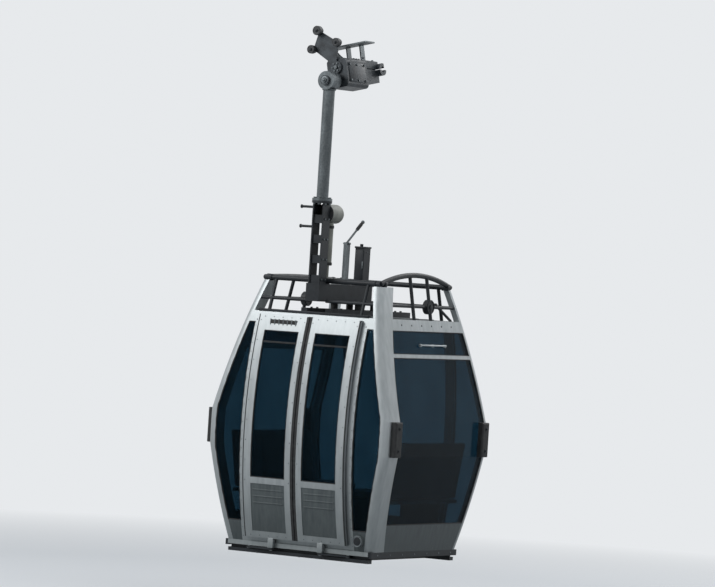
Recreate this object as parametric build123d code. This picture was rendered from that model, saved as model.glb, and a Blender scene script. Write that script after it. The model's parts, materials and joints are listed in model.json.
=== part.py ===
from build123d import *
import math
import os

# Cable car cabin on its hanger and rope grip, in millimetres.
# The origin is on the rope's axis in the grip's jaws. X runs along the line, -Y is the door side, Z is up.

# Rope and grip
ROPE_R = 25.0
ROPE_SLOPE = 11.5
JAW_LENGTH = 230.0
JAW_WALL = 28.0
JAW_CLEARANCE = 0.1
PIVOT_Z = -120.0
PIVOT_PIN_R = 28.0

# Hanger
HANGER_Y = -660.0
HANGER_R = 50.0
HANGER_WALL = 8.0
FLANGE_Z = -1130.0
FLANGE_R = 85.0
FLANGE_THICKNESS = 20.0
FOOT_DEPTH = 150.0
FOOT_WIDTH = 130.0
FOOT_END = 130.0
COLUMN_WIDTH = 110.0
PLATE = 12.0
COLUMN_WEBS = 4
WEB_DEPTH = 70.0

# Cabin levels
Z_TOP = -1820.0
Z_HEADER = -2085.0
Z_HEADER_LOW = -2180.0
Z_VENT_LOW = -2370.0
Z_TRANSOM_LOW = -2405.0
Z_KINK_HIGH = -2930.0
Z_WAIST = -3070.0
Z_KINK_LOW = -3225.0
Z_PANE_LOW = -3800.0
Z_QUARTER_LOW = -3860.0
Z_BASE = -4030.0
Z_SILL_LOW = -4068.0
Z_SKID = -4127.0

# Cabin half widths, along the line and across it
HX_TOP = 592.0
HX_WAIST = 885.0
HX_BASE = 725.0
HY_TOP = 592.0
HY_WAIST = 835.0
HY_BASE = 700.0

WALL = 40.0
CORNER_R = 60.0
POST_SIDE = 74.0
POST_END = 195.0
PANE_SET_BACK = 8.0
PANE_THICKNESS = 12.0
FLOOR_THICKNESS = 40.0
ROOF_THICKNESS = 30.0

# Doorway and door leaves
DOORWAY_HALF = 470.0
JAMB_OUT = 555.0
LEAF_HALF = 500.0
LEAF_GAP = 8.0
LEAF_STAND_OFF = 6.0
LEAF_THICKNESS = 35.0
LEAF_TOP = -2110.0
LEAF_BOTTOM = -3992.0
LEAF_PANE_TOP = -2245.0
LEAF_PANE_BOTTOM = -3480.0
STILE = 80.0
LOW_RAIL = 55.0
SEAL_WIDTH = 24.0
EDGE_SEAL = 10.0
ARM_LENGTH = 250.0
ARM_START = 190.0
ARM_THICKNESS = 16.0
ARM_WIDTH = 44.0
ARM_GAP = 5.0
ARM_PIN_R = 14.0
LEAF_PIN_R = 9.0
LEAF_PIN_X = 245.0
PIN_FIT = 0.06

# Roof beams, mounts and open rail
BEAM_X = 120.0
BEAM_WIDTH = 60.0
BEAM_DEPTH = 50.0
MOUNT_R = 30.0
MOUNT_ROWS = (-170.0, 80.0)
MOUNT_HEIGHT = 48.0
RAIL_R = 22.0
RAIL_CROWN_LEFT = 15.0
RAIL_CROWN_RIGHT = 90.0
MID_RAIL_Z = -1970.0
MID_RAIL_R = 14.0
STRUT_R = 15.0
BEAM_WAY = 15.0
SIDE_STRUTS = (-455.0, 455.0)
END_STRUTS = (-110.0, 165.0)
EYE_PLACE = 165.0
EYE_DISC_R = 62.0
EYE_DISC_HALF = 22.0
FOOT_TOP = Z_HEADER + BEAM_DEPTH + MOUNT_HEIGHT + PLATE + FOOT_DEPTH

# Sill rails and skid frame
SILL_WIDTH = 60.0
SILL_PROUD = 10.0
SKIRT = 30.0
SKIRT_DEPTH = 50.0
SKID_WIDTH = 60.0
SKID_THICKNESS = 30.0
SKID_BARS = (-420.0, 0.0, 420.0)
SPACER_R = 18.0

# Waist buffers and round drive cover
BUFFER_WIDTH = 110.0
BUFFER_PROUD = 50.0
COVER_X = 605.0
COVER_R = 48.0
COVER_PROUD = 25.0

# Benches
SEAT_TOP = -3530.0
SEAT_DEPTH = 430.0
SEAT_BACK_TOP = -3100.0
CUSHION = 70.0
SEAT_HALF = 610.0
BACK_GAP = 26.0
PAN = 30.0
LEG_PLACE = 430.0
LEG_INSET = 60.0
SOFT_GAP = 0.3

# Grip, along the rope and square to it
GRIP_OUTER_Y = -560.0
GRIP_INNER_Y = -230.0
GRIP_HALF = 95.0
GRIP_LOW = -175.0
GRIP_HIGH = 70.0
JAW_HALF = 75.0
JAW_NECK_LOW = -110.0
JAW_SPLIT = 4.0
ROLLER_GAP = 5.0
EYE_R = 78.0
EYE_HALF = 62.0
LEVER_THICKNESS = 16.0
PLATE_HALF = 210.0
PLATE_LEG = 60.0
LEVER_HUB_R = 52.0
LEVER_BOSS_R = 30.0
PLATE_LEVEL = 190.0
PLATE_Y = (-400.0, -250.0)
SPRING_R = 34.0
SPRING_ROWS = (-520.0, -445.0)
SPRING_TOP = (-170.0, 245.0)
ROLLERS = [
    # node, radius, half width, place along the line, level
    ("coupling_roller", 40.0, 22.0, -185.0, 300.0),
    ("guide_roller_lower", 36.0, 20.0, -235.0, 140.0),
    ("guide_roller_upper", 36.0, 20.0, 5.0, 208.0),
]
AXLE_R = 12.0

# Suspension of the cabin under the hanger
HEAD_R = 80.0
HEAD_Z = FLANGE_Z - 105.0
HEAD_LENGTH = 205.0
STRUT_Y = -520.0
STRUT_TUBE_R = 36.0
STRUT_TUBE_LOW = FOOT_TOP + 155.0
STRUT_ROD_R = 18.0
PEG_R = 10.0
PEG_REACH = 145.0
PEG_LEVELS = (FLANGE_Z - 55.0, FLANGE_Z - 220.0)
BOX_TOP = FOOT_TOP + 325.0
BOX_Y = (-5.0, 95.0)
BOX_HALF = 45.0
LEVER_HIGH = (15.0, FOOT_TOP + 540.0)
LEVER_LOW = (-220.0, FOOT_TOP + 358.0)
LEVER_R = 9.0
LEVER_FOOT = 25.0

OUT = "parts"
os.makedirs(OUT, exist_ok=True)


def save(name, solids):
    """Write one node. A node of several solids keeps them apart in one compound."""
    items = solids if isinstance(solids, list) else [solids]
    flat = []
    for item in items:
        flat.extend(item.solids())
    shape = flat[0] if len(flat) == 1 else Compound(children=flat)
    export_step(shape, os.path.join(OUT, name + ".step"))


def block(x, y, z):
    """A box from its low and high bounds along each axis."""
    size = (x[1] - x[0], y[1] - y[0], z[1] - z[0])
    middle = ((x[0] + x[1]) / 2, (y[0] + y[1]) / 2, (z[0] + z[1]) / 2)
    return Pos(*middle) * Box(*size)


def rod(start, end, radius):
    """A round bar between two points."""
    a = Vector(*start)
    b = Vector(*end)
    plane = Plane(origin=a, z_dir=b - a)
    return plane * Cylinder(radius, (b - a).length, align=(Align.CENTER, Align.CENTER, Align.MIN))


def bored(start, end, radius, wall):
    """A tube between two points."""
    a = Vector(*start)
    along = (Vector(*end) - a).normalized()
    low = a - along
    high = Vector(*end) + along
    return rod(start, end, radius) - rod(tuple(low), tuple(high), radius - wall)


# Body form: the side walls are one arc from sill to roof, and the end walls are straight runs with a waist

REACH = 2000.0


def side_form(inset, front=None):
    """Everything between the two bowed side walls, set in by inset, or by front on the door side."""
    def edge(sign, step):
        return ThreePointArc(
            (0, sign * (HY_BASE - step), Z_BASE),
            (0, sign * (HY_WAIST - step), Z_WAIST),
            (0, sign * (HY_TOP - step), Z_TOP),
        )
    right = edge(1, inset)
    left = edge(-1, inset if front is None else front)
    cap = Line(right @ 1, left @ 1)
    sill = Line(left @ 0, right @ 0)
    face = make_face(Wire([right, cap, left, sill]))
    return extrude(face, amount=REACH, dir=(1, 0, 0), both=True)


END_OUTLINE = [
    # half width along the line, level
    (HX_BASE, Z_BASE),
    (HX_WAIST, Z_KINK_LOW),
    (HX_WAIST, Z_KINK_HIGH),
    (HX_TOP, Z_TOP),
]


def end_form(inset):
    """Everything between the two end walls, with the walls set in by inset."""
    right = [(half - inset, 0, z) for half, z in END_OUTLINE]
    left = [(inset - half, 0, z) for half, z in reversed(END_OUTLINE)]
    face = make_face(Polyline(*(right + left), close=True))
    return extrude(face, amount=REACH, dir=(0, 1, 0), both=True)


def body_form(inset):
    """The cabin's whole form, set in by inset, with its four upright edges rounded."""
    solid = side_form(inset) & end_form(inset)
    upright = [
        e for e in solid.edges()
        if abs(e.center().X) > HX_TOP / 2 and abs(e.center().Y) > HY_TOP / 2
        and e.bounding_box().size.Z > WALL
    ]
    return fillet(upright, CORNER_R - inset)


OUTER = body_form(0)
SHELL = OUTER - body_form(WALL)
GLAZING = body_form(PANE_SET_BACK) - body_form(PANE_SET_BACK + PANE_THICKNESS)
END_INNER = end_form(POST_SIDE)
SIDE_INNER = side_form(POST_SIDE, POST_END)
SIDE_SHELL = SHELL & END_INNER
SIDE_GLAZING = GLAZING & END_INNER
END_SHELL = SHELL & SIDE_INNER
END_GLAZING = GLAZING & SIDE_INNER
CORNERS = SHELL - END_INNER - SIDE_INNER


def side_y(z, inset=0):
    """Half width across the line at a level, on the bowed side wall."""
    arc = ThreePointArc((HY_BASE, Z_BASE), (HY_WAIST, Z_WAIST), (HY_TOP, Z_TOP))
    centre = arc.arc_center
    return centre.X + math.sqrt(arc.radius ** 2 - (z - centre.Y) ** 2) - inset


def end_x(z):
    """Half width along the line at a level, on the end wall."""
    for (x0, z0), (x1, z1) in zip(END_OUTLINE, END_OUTLINE[1:]):
        if z0 <= z <= z1:
            return x0 + (x1 - x0) * (z - z0) / (z1 - z0)
    return HX_BASE


def make_corner_posts():
    save("corner_posts", CORNERS)


def make_side_walls():
    """Header bands, jambs, quarter panes and the wide rear pane."""
    low = (Z_BASE, Z_HEADER_LOW)
    band = (Z_HEADER_LOW, Z_HEADER)
    front = (-REACH, 0)
    rear = (0, REACH)
    span = (-REACH, REACH)
    save("header_sides", SIDE_SHELL & block(span, span, band))
    save("header_ends", END_SHELL & block(span, span, band))
    jambs = [
        SIDE_SHELL & block(tuple(sorted((s * DOORWAY_HALF, s * JAMB_OUT))), front, low)
        for s in (-1, 1)
    ]
    save("door_jambs", jambs)
    mullions = [
        SIDE_SHELL & block(tuple(sorted((s * DOORWAY_HALF, s * JAMB_OUT))), rear, low)
        for s in (-1, 1)
    ]
    save("rear_mullions", mullions)
    panes = []
    panels = []
    for s in (-1, 1):
        across = tuple(sorted((s * JAMB_OUT, s * REACH)))
        for side in (front, rear):
            panes.append(SIDE_GLAZING & block(across, side, (Z_QUARTER_LOW, Z_HEADER_LOW)))
            panels.append(SIDE_SHELL & block(across, side, (Z_BASE, Z_QUARTER_LOW)))
    save("quarter_panes", panes)
    save("quarter_panels", panels)
    middle = (-DOORWAY_HALF, DOORWAY_HALF)
    save("rear_pane", SIDE_GLAZING & block(middle, rear, (Z_PANE_LOW, Z_HEADER_LOW)))
    save("rear_panel", SIDE_SHELL & block(middle, rear, (Z_BASE, Z_PANE_LOW)))


def make_end_walls():
    """Vent flap, transom, tall pane and lower panel of each end."""
    span = (-REACH, REACH)
    bands = [
        # node, stock, low level, high level
        ("end_transoms", END_SHELL, Z_TRANSOM_LOW, Z_VENT_LOW),
        ("end_vents", END_GLAZING, Z_VENT_LOW, Z_HEADER_LOW),
        ("end_panels", END_SHELL, Z_BASE, Z_PANE_LOW),
    ]
    for node, stock, low, high in bands:
        save(node, stock & block(span, span, (low, high)))
    for name, side in (("left", (-REACH, 0)), ("right", (0, REACH))):
        save("end_pane_" + name, END_GLAZING & block(side, span, (Z_PANE_LOW, Z_TRANSOM_LOW)))


def make_roof():
    """Roof panel inside the header, beams, rubber mounts and the open rail above."""
    span = (-REACH, REACH)
    inner = body_form(WALL)
    save("roof_panel", inner & block(span, span, (Z_HEADER - ROOF_THICKNESS, Z_HEADER)))
    beam_end = side_y(Z_HEADER) - WALL
    save("roof_beams", [
        block((s * BEAM_X - BEAM_WIDTH / 2, s * BEAM_X + BEAM_WIDTH / 2),
              (-beam_end, beam_end), (Z_HEADER, Z_HEADER + BEAM_DEPTH))
        for s in (-1, 1)
    ])
    mount_low = Z_HEADER + BEAM_DEPTH
    mount_high = mount_low + MOUNT_HEIGHT
    save("roof_mounts", [
        rod((s * BEAM_X, y, mount_low), (s * BEAM_X, y, mount_high), MOUNT_R)
        for s in (-1, 1) for y in MOUNT_ROWS
    ])


def make_roof_rails():
    """A tube round the roof on top of the corner posts, arched over the uphill end, with a lower rail."""
    x = HX_TOP - WALL / 2
    y = HY_TOP - WALL / 2
    z = Z_TOP + RAIL_R
    ends = []
    crowns = ((-1, RAIL_CROWN_LEFT), (1, RAIL_CROWN_RIGHT))
    for s, crown in crowns:
        arc = ThreePointArc((s * x, -y, z), (s * x, 0, z + crown), (s * x, y, z))
        plane = Plane(origin=arc @ 0, z_dir=arc % 0)
        ends.append(sweep(plane * Circle(RAIL_R), path=arc))
    sides = [rod((-x, s * y, z), (x, s * y, z), RAIL_R) - ends[0] - ends[1] for s in (-1, 1)]
    save("roof_rail_ends", ends)
    save("roof_rail_sides", sides)

    mid_x = end_x(MID_RAIL_Z) - WALL / 2
    mid_y = side_y(MID_RAIL_Z) - WALL / 2
    reach_x = end_x(MID_RAIL_Z) - WALL
    reach_y = side_y(MID_RAIL_Z) - WALL
    low_x = end_x(Z_HEADER) - WALL / 2
    low_y = side_y(Z_HEADER) - WALL / 2
    struts = []
    for s, crown in crowns:
        runs = [((place, s * low_y, Z_HEADER), (place, s * y, z), sides) for place in SIDE_STRUTS]
        runs += [((s * low_x, place, Z_HEADER), (s * x, place, z + crown), ends) for place in END_STRUTS]
        for foot, head, tubes in runs:
            lean = Vector(*head) - Vector(*foot)
            strut = rod(tuple(Vector(*foot) - lean * 0.2), head, STRUT_R) - tubes[0] - tubes[1]
            strut &= block((-REACH, REACH), (-REACH, REACH), (Z_HEADER, REACH))
            struts.append(max(strut.solids(), key=lambda piece: piece.volume))
    mids = [rod((-reach_x, s * mid_y, MID_RAIL_Z), (reach_x, s * mid_y, MID_RAIL_Z), MID_RAIL_R)
            for s in (-1, 1)]
    for s in (-1, 1):
        mid = rod((s * mid_x, -reach_y, MID_RAIL_Z), (s * mid_x, reach_y, MID_RAIL_Z), MID_RAIL_R)
        disc = ((s * (mid_x - EYE_DISC_HALF), EYE_PLACE, MID_RAIL_Z), (s * (mid_x + EYE_DISC_HALF), EYE_PLACE, MID_RAIL_Z))
        mids.append(mid + rod(*disc, EYE_DISC_R))
    beam_way = FOOT_WIDTH / 2 + BEAM_WAY
    mids[0] -= block((-beam_way, beam_way), (-REACH, 0), (MID_RAIL_Z - RAIL_R, MID_RAIL_Z + RAIL_R))
    pieces = []
    for mid in mids:
        for strut in struts:
            mid = mid - strut
        runs = (mid - CORNERS).solids()
        pieces += [run for run in runs if run.volume > STRUT_R ** 3 * 8]
    save("roof_struts", struts)
    save("roof_mid_rails", pieces)


def make_floor():
    """Floor pan, door sill, silver sill rails with the arm pivots, and the black skirts and skid frame."""
    span = (-REACH, REACH)
    inner = body_form(WALL)
    save("floor_pan", inner & block(span, span, (Z_BASE, Z_BASE + FLOOR_THICKNESS)))
    doorway = (-DOORWAY_HALF, DOORWAY_HALF)
    save("door_sill", SIDE_SHELL & block(doorway, (-REACH, 0), (Z_BASE, Z_BASE + FLOOR_THICKNESS)))
    reach = HX_BASE - SKIRT
    rails = []
    for s in (-1, 1):
        across = tuple(sorted((s * (HY_BASE + SILL_PROUD), s * (HY_BASE - SILL_WIDTH))))
        rail = block((-reach, reach), across, (Z_SILL_LOW, Z_BASE))
        if s < 0:
            for side in (-1, 1):
                px, py = arm_pivot(side)
                rail += rod((px, py, ARM_LOW - 3.0), (px, py, Z_BASE), ARM_PIN_R)
        rails.append(rail)
    save("sill_rails", rails)

    spacer_y = HY_BASE - SILL_WIDTH - SPACER_R - ARM_WIDTH
    skid_top = Z_SKID + SKID_THICKNESS
    rails = []
    for s in (-1, 1):
        web_y = HY_BASE - SKID_WIDTH
        rail = block((-reach, reach), tuple(sorted((s * HY_BASE, s * web_y))), (Z_SKID, skid_top))
        rail += block((-reach, reach), tuple(sorted((s * web_y, s * (web_y + PLATE)))), (Z_SKID, Z_SILL_LOW))
        rails.append(rail)
    save("skid_rails", rails)
    bars = [
        block(tuple(sorted((s * reach, s * HX_BASE))), (-HY_BASE, HY_BASE), (Z_BASE - SKIRT_DEPTH, Z_BASE))
        for s in (-1, 1)
    ]
    for place in SKID_BARS:
        half = HY_BASE - SKID_WIDTH
        bar = block((place - SKID_WIDTH / 2, place + SKID_WIDTH / 2), (-half, half), (Z_SKID, skid_top))
        for s in (-1, 1):
            bar += rod((place, s * spacer_y, Z_SKID), (place, s * spacer_y, Z_BASE), SPACER_R)
        bars.append(bar)
    save("skid_bars", bars)


def make_buffers():
    """Rubber buffers at the waist, on each end by the corners."""
    pads = []
    for sx in (-1, 1):
        for sy in (-1, 1):
            across = tuple(sorted((sy * (HY_WAIST - CORNER_R), sy * (HY_WAIST - CORNER_R - BUFFER_WIDTH))))
            along = tuple(sorted((sx * HX_WAIST, sx * (HX_WAIST + BUFFER_PROUD))))
            pad = block(along, across, (Z_KINK_LOW, Z_KINK_HIGH))
            outer = pad.faces().sort_by(Axis.X)[-1 if sx > 0 else 0]
            pads.append(fillet(outer.edges(), BUFFER_PROUD / 3))
    save("buffers", pads)
    hub = side_y((Z_QUARTER_LOW + Z_BASE) / 2)
    level = (Z_QUARTER_LOW + Z_BASE) / 2
    cover = rod((COVER_X, -hub - COVER_PROUD, level), (COVER_X, 0, level), COVER_R) - side_form(0)
    save("door_drive_cover", cover)


def arm_pivot(side):
    """Where the door arm turns on the sill, for the side with that sign."""
    start = math.radians(ARM_START)
    return (side * (LEAF_PIN_X - ARM_LENGTH * math.cos(start)), LEAF_PIN_Y - ARM_LENGTH * math.sin(start))


LEAF_PIN_Y = -(side_y(LEAF_BOTTOM) + LEAF_STAND_OFF + LEAF_THICKNESS / 2)
ARM_HIGH = Z_SILL_LOW - ARM_GAP
ARM_LOW = ARM_HIGH - ARM_THICKNESS


def make_leaf(side, name):
    """One door leaf: frame, pane, lower panel and seam seal, all on the bow of the side wall."""
    front = (-REACH, 0)

    def layer(outer, inner):
        return side_form(-outer) - side_form(-inner)

    def cut(stock, x, z):
        return stock & block(tuple(sorted((side * x[0], side * x[1]))), front, z)

    inside = LEAF_STAND_OFF
    outside = LEAF_STAND_OFF + LEAF_THICKNESS
    full = layer(outside, inside)
    seam = LEAF_GAP / 2
    frame_in = seam + SEAL_WIDTH
    glass_in = frame_in + STILE - SEAL_WIDTH
    glass_out = LEAF_HALF - STILE
    frame = cut(full, (frame_in, LEAF_HALF - EDGE_SEAL), (LEAF_BOTTOM, LEAF_TOP))
    window = (LEAF_PANE_BOTTOM, LEAF_PANE_TOP)
    panel = (LEAF_BOTTOM + LOW_RAIL, LEAF_PANE_BOTTOM - LOW_RAIL)
    frame -= cut(full, (glass_in, glass_out), window)
    frame -= cut(full, (glass_in, glass_out), panel)
    pin_x = side * LEAF_PIN_X
    lug_half = LEAF_THICKNESS / 2 - 2.0
    frame += block((pin_x - ARM_WIDTH / 2, pin_x + ARM_WIDTH / 2),
                   (LEAF_PIN_Y - lug_half, LEAF_PIN_Y + lug_half), (ARM_HIGH + 2.0, LEAF_BOTTOM + 10.0))
    frame += rod((pin_x, LEAF_PIN_Y, ARM_LOW - 3.0), (pin_x, LEAF_PIN_Y, LEAF_BOTTOM), LEAF_PIN_R)
    save("door_frame_" + name, frame)
    pane = layer(outside - PANE_SET_BACK, outside - PANE_SET_BACK - PANE_THICKNESS)
    save("door_pane_" + name, cut(pane, (glass_in, glass_out), window))
    save("door_panel_" + name, cut(layer(outside - 4.0, inside + 4.0), (glass_in, glass_out), panel))
    save("door_seal_" + name, [
        cut(full, (seam, frame_in), (LEAF_BOTTOM, LEAF_TOP)),
        cut(full, (LEAF_HALF - EDGE_SEAL, LEAF_HALF), (LEAF_BOTTOM, LEAF_TOP)),
    ])


def make_arm(side, name):
    """The flat arm that carries a leaf out and along, turning on the sill rail."""
    px, py = arm_pivot(side)
    ax = side * LEAF_PIN_X
    ay = LEAF_PIN_Y
    turn = math.degrees(math.atan2(py - ay, px - ax))
    middle = ((px + ax) / 2, (py + ay) / 2, (ARM_LOW + ARM_HIGH) / 2)
    arm = Pos(*middle) * Rot(0, 0, turn) * Box(ARM_LENGTH, ARM_WIDTH, ARM_THICKNESS)
    for x, y in ((px, py), (ax, ay)):
        arm += rod((x, y, ARM_LOW), (x, y, ARM_HIGH), ARM_WIDTH / 2)
    for x, y, pin in ((px, py, ARM_PIN_R), (ax, ay, LEAF_PIN_R)):
        arm -= rod((x, y, ARM_LOW - 1), (x, y, ARM_HIGH + 1), pin + PIN_FIT)
    save("door_arm_" + name, arm)


def make_bench(side, name):
    """A bench along one end: base with seat pan and two legs, seat cushion and back cushion."""
    floor = Z_BASE + FLOOR_THICKNESS
    pan_top = SEAT_TOP - CUSHION
    back_foot = end_x(pan_top) - WALL - BACK_GAP
    back_head = end_x(SEAT_BACK_TOP) - WALL - BACK_GAP

    def span(a, b):
        return tuple(sorted((side * a, side * b)))

    front = back_foot - CUSHION - SEAT_DEPTH
    base = block(span(front, back_foot), (-SEAT_HALF, SEAT_HALF), (pan_top - PAN, pan_top))
    for sy in (-1, 1):
        base += block(span(front + LEG_INSET, back_foot - LEG_INSET),
                      (sy * LEG_PLACE - PAN / 2, sy * LEG_PLACE + PAN / 2), (floor, pan_top - PAN))
    save("bench_base_" + name, base)
    seat = block(span(front, back_foot - CUSHION - SOFT_GAP), (-SEAT_HALF, SEAT_HALF),
                 (pan_top + SOFT_GAP, SEAT_TOP))
    save("seat_" + name, fillet(seat.edges().filter_by(Axis.Y), CUSHION / 4))
    corners = [
        # distance along the line, level
        (back_foot - CUSHION, pan_top + SOFT_GAP),
        (back_foot, pan_top + SOFT_GAP),
        (back_head, SEAT_BACK_TOP),
        (back_head - CUSHION, SEAT_BACK_TOP),
    ]
    outline = make_face(Polyline(*[(side * x, -SEAT_HALF, z) for x, z in corners], close=True))
    back = extrude(outline, amount=2 * SEAT_HALF, dir=(0, 1, 0))
    save("seat_back_" + name, fillet(back.edges().filter_by(Axis.Y), CUSHION / 4))


def make_hanger():
    """Tube with its eye and flange, pegs, column of plates, foot beam and the cabin's suspension."""
    top = PIVOT_Z - EYE_R + HANGER_WALL
    eye = rod((0, HANGER_Y - EYE_HALF, PIVOT_Z), (0, HANGER_Y + EYE_HALF, PIVOT_Z), EYE_R)
    tube = bored((0, HANGER_Y, FLANGE_Z), (0, HANGER_Y, top), HANGER_R, HANGER_WALL)
    flange = rod((0, HANGER_Y, FLANGE_Z), (0, HANGER_Y, FLANGE_Z + FLANGE_THICKNESS), FLANGE_R)
    bore = rod((0, HANGER_Y - 2 * EYE_HALF, PIVOT_Z), (0, HANGER_Y + 2 * EYE_HALF, PIVOT_Z), PIVOT_PIN_R + PIN_FIT)
    save("hanger_tube", eye + tube + flange - bore)

    half = COLUMN_WIDTH / 2
    side = half - PLATE
    cap = rod((0, HANGER_Y, FLANGE_Z - FLANGE_THICKNESS), (0, HANGER_Y, FLANGE_Z), FLANGE_R)
    column = cap
    for s in (-1, 1):
        column += block(tuple(sorted((s * side, s * half))), (HANGER_Y - half, HANGER_Y + half),
                        (FOOT_TOP, FLANGE_Z - FLANGE_THICKNESS))
    gap = FLANGE_Z - FLANGE_THICKNESS - FOOT_TOP
    for k in range(COLUMN_WEBS):
        level = FOOT_TOP + gap * k / COLUMN_WEBS
        column += block((-side, side), (HANGER_Y - half + PLATE, HANGER_Y + half - PLATE), (level, level + WEB_DEPTH))
    save("hanger_column", column)
    save("climbing_pegs", [
        rod((-half - PEG_REACH, HANGER_Y, z), (-half, HANGER_Y, z), PEG_R) for z in PEG_LEVELS
    ])

    foot_low = FOOT_TOP - FOOT_DEPTH
    foot = block((-FOOT_WIDTH / 2, FOOT_WIDTH / 2), (HANGER_Y - half - PLATE, FOOT_END), (foot_low, FOOT_TOP))
    rows = (MOUNT_ROWS[0] - 1.5 * MOUNT_R, MOUNT_ROWS[1] + 1.5 * MOUNT_R)
    reach = BEAM_X + 1.5 * MOUNT_R
    foot += block((-reach, reach), rows, (foot_low - PLATE, foot_low))
    save("hanger_foot", foot)

    head = rod((0, HANGER_Y + half, HEAD_Z), (0, HANGER_Y + half + HEAD_LENGTH, HEAD_Z), HEAD_R)
    head = fillet(head.edges().filter_by(GeomType.CIRCLE).sort_by(Axis.Y)[-1], HEAD_R / 2)
    save("suspension_head", head)
    strut = rod((0, STRUT_Y, STRUT_TUBE_LOW), (0, STRUT_Y, HEAD_Z), STRUT_TUBE_R) - head
    strut += rod((0, STRUT_Y, FOOT_TOP), (0, STRUT_Y, STRUT_TUBE_LOW), STRUT_ROD_R)
    save("suspension_strut", max(strut.solids(), key=lambda piece: piece.volume))
    save("release_box", block((-BOX_HALF, BOX_HALF), BOX_Y, (FOOT_TOP, BOX_TOP)))
    post = block((-LEVER_R * 2, LEVER_R * 2), (LEVER_LOW[0] - LEVER_FOOT, LEVER_LOW[0] + LEVER_FOOT), (FOOT_TOP, LEVER_LOW[1]))
    lever = rod((0, *LEVER_LOW), (0, *LEVER_HIGH), LEVER_R)
    knob = Pos(0, *LEVER_HIGH) * Sphere(LEVER_R * 1.8)
    save("release_lever", post + lever + knob)


def make_grip():
    """Rope grip: housing with fixed jaw and pivot pin, moving jaw, springs, lever, plate and rollers."""
    slope = math.radians(ROPE_SLOPE)
    tilt = Rot(0, -ROPE_SLOPE, 0)
    pin_x = PIVOT_Z * math.sin(slope)
    pin_z = PIVOT_Z * math.cos(slope)
    jaw_r = ROPE_R + JAW_CLEARANCE
    half = JAW_LENGTH / 2
    ring = rod((-half, 0, 0), (half, 0, 0), jaw_r + JAW_WALL)
    rope = rod((-half - 1, 0, 0), (half + 1, 0, 0), jaw_r)
    wide = jaw_r + JAW_WALL + 1.0
    trough = ring & block((-half, half), (-wide, wide), (-wide, -JAW_SPLIT))
    roof = ring & block((-half, half), (-wide, wide * 0.4), (JAW_SPLIT, wide))

    body = block((-GRIP_HALF, GRIP_HALF), (GRIP_OUTER_Y, GRIP_INNER_Y), (GRIP_LOW, GRIP_HIGH))
    body = fillet(body.edges().filter_by(Axis.Y), 30.0)
    body += block((-JAW_HALF, JAW_HALF), (GRIP_INNER_Y - 1.0, -10.0), (JAW_NECK_LOW, -JAW_SPLIT))
    body += trough
    body -= rope
    outer = HANGER_Y - EYE_HALF - 5.0
    body += rod((pin_x, outer, pin_z), (pin_x, GRIP_OUTER_Y + 1.0, pin_z), PIVOT_PIN_R)
    body += rod((pin_x, outer - 14.0, pin_z), (pin_x, outer, pin_z), PIVOT_PIN_R * 1.5)
    body += rod((pin_x, HANGER_Y + EYE_HALF + 5.0, pin_z), (pin_x, GRIP_OUTER_Y + 1.0, pin_z), PIVOT_PIN_R * 1.8)
    save("grip_body", tilt * body)

    jaw = block((-JAW_HALF, JAW_HALF), (GRIP_INNER_Y, -10.0), (JAW_SPLIT, GRIP_HIGH)) + roof - rope
    save("moving_jaw", tilt * jaw)

    lever_y = GRIP_OUTER_Y - LEVER_THICKNESS
    spring_x, spring_z = SPRING_TOP
    springs = []
    for y in SPRING_ROWS:
        spring = rod((0, y, GRIP_HIGH - SPRING_R), (spring_x, y, spring_z), SPRING_R) - body
        springs.append(max(spring.solids(), key=lambda piece: piece.volume))
    save("grip_springs", [tilt * spring for spring in springs])

    points = []
    for node, radius, half_width, x, z in ROLLERS:
        level_x = x * math.cos(slope) + z * math.sin(slope)
        level_z = z * math.cos(slope) - x * math.sin(slope)
        points.append((level_x, level_z))
    crank = [(0.0, 0.0), points[1], points[0], points[2]]
    face = make_face(Polyline(*[(x, lever_y, z) for x, z in crank], close=True))
    lever = extrude(face, amount=LEVER_THICKNESS, dir=(0, 1, 0))
    for x, z in points:
        lever += rod((x, lever_y, z), (x, lever_y + LEVER_THICKNESS, z), LEVER_BOSS_R)
    lever += rod((0, lever_y, 0), (0, lever_y + LEVER_THICKNESS, 0), LEVER_HUB_R)
    for (node, radius, half_width, x, z), (level_x, level_z) in zip(ROLLERS, points):
        lever += rod((level_x, lever_y - ROLLER_GAP - 2 * half_width - 4.0, level_z),
                     (level_x, lever_y, level_z), AXLE_R)
    save("coupling_lever", tilt * lever)

    for node, radius, half_width, x, z in ROLLERS:
        inner = lever_y - ROLLER_GAP
        roller = rod((x, inner - 2 * half_width, z), (x, inner, z), radius)
        roller = fillet(roller.edges().filter_by(GeomType.CIRCLE), 4.0)
        roller -= rod((x, inner - 3 * half_width, z), (x, inner + 1, z), AXLE_R + PIN_FIT)
        save(node, roller)

    plate = block((-PLATE_HALF, PLATE_HALF), PLATE_Y, (PLATE_LEVEL, PLATE_LEVEL + PLATE))
    for s in (-1, 1):
        plate += block(tuple(sorted((s * PLATE_LEG, s * (PLATE_LEG + PLATE)))), (PLATE_Y[1] - PLATE, PLATE_Y[1] + 50.0),
                       (GRIP_HIGH, PLATE_LEVEL + PLATE))
    save("traction_plate", tilt * plate)


make_corner_posts()
make_side_walls()
make_end_walls()
make_roof()
make_roof_rails()
make_floor()
make_buffers()
for hand, label in ((-1, "left"), (1, "right")):
    make_leaf(hand, label)
    make_arm(hand, label)
    make_bench(hand, label)
make_hanger()
make_grip()
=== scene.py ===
# %% [markdown]
# A cable car cabin, with the steel hanger that holds it and the spring grip at the hanger's top.
# The imported model is the fixed frame: every piece made here goes where that frame says, in metres.
# The box of the frame is kept now; the camera and the floor are placed by it.

# %% Load the frame
import bmesh
import bpy
import json
import math
from mathutils import Matrix, Vector


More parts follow.
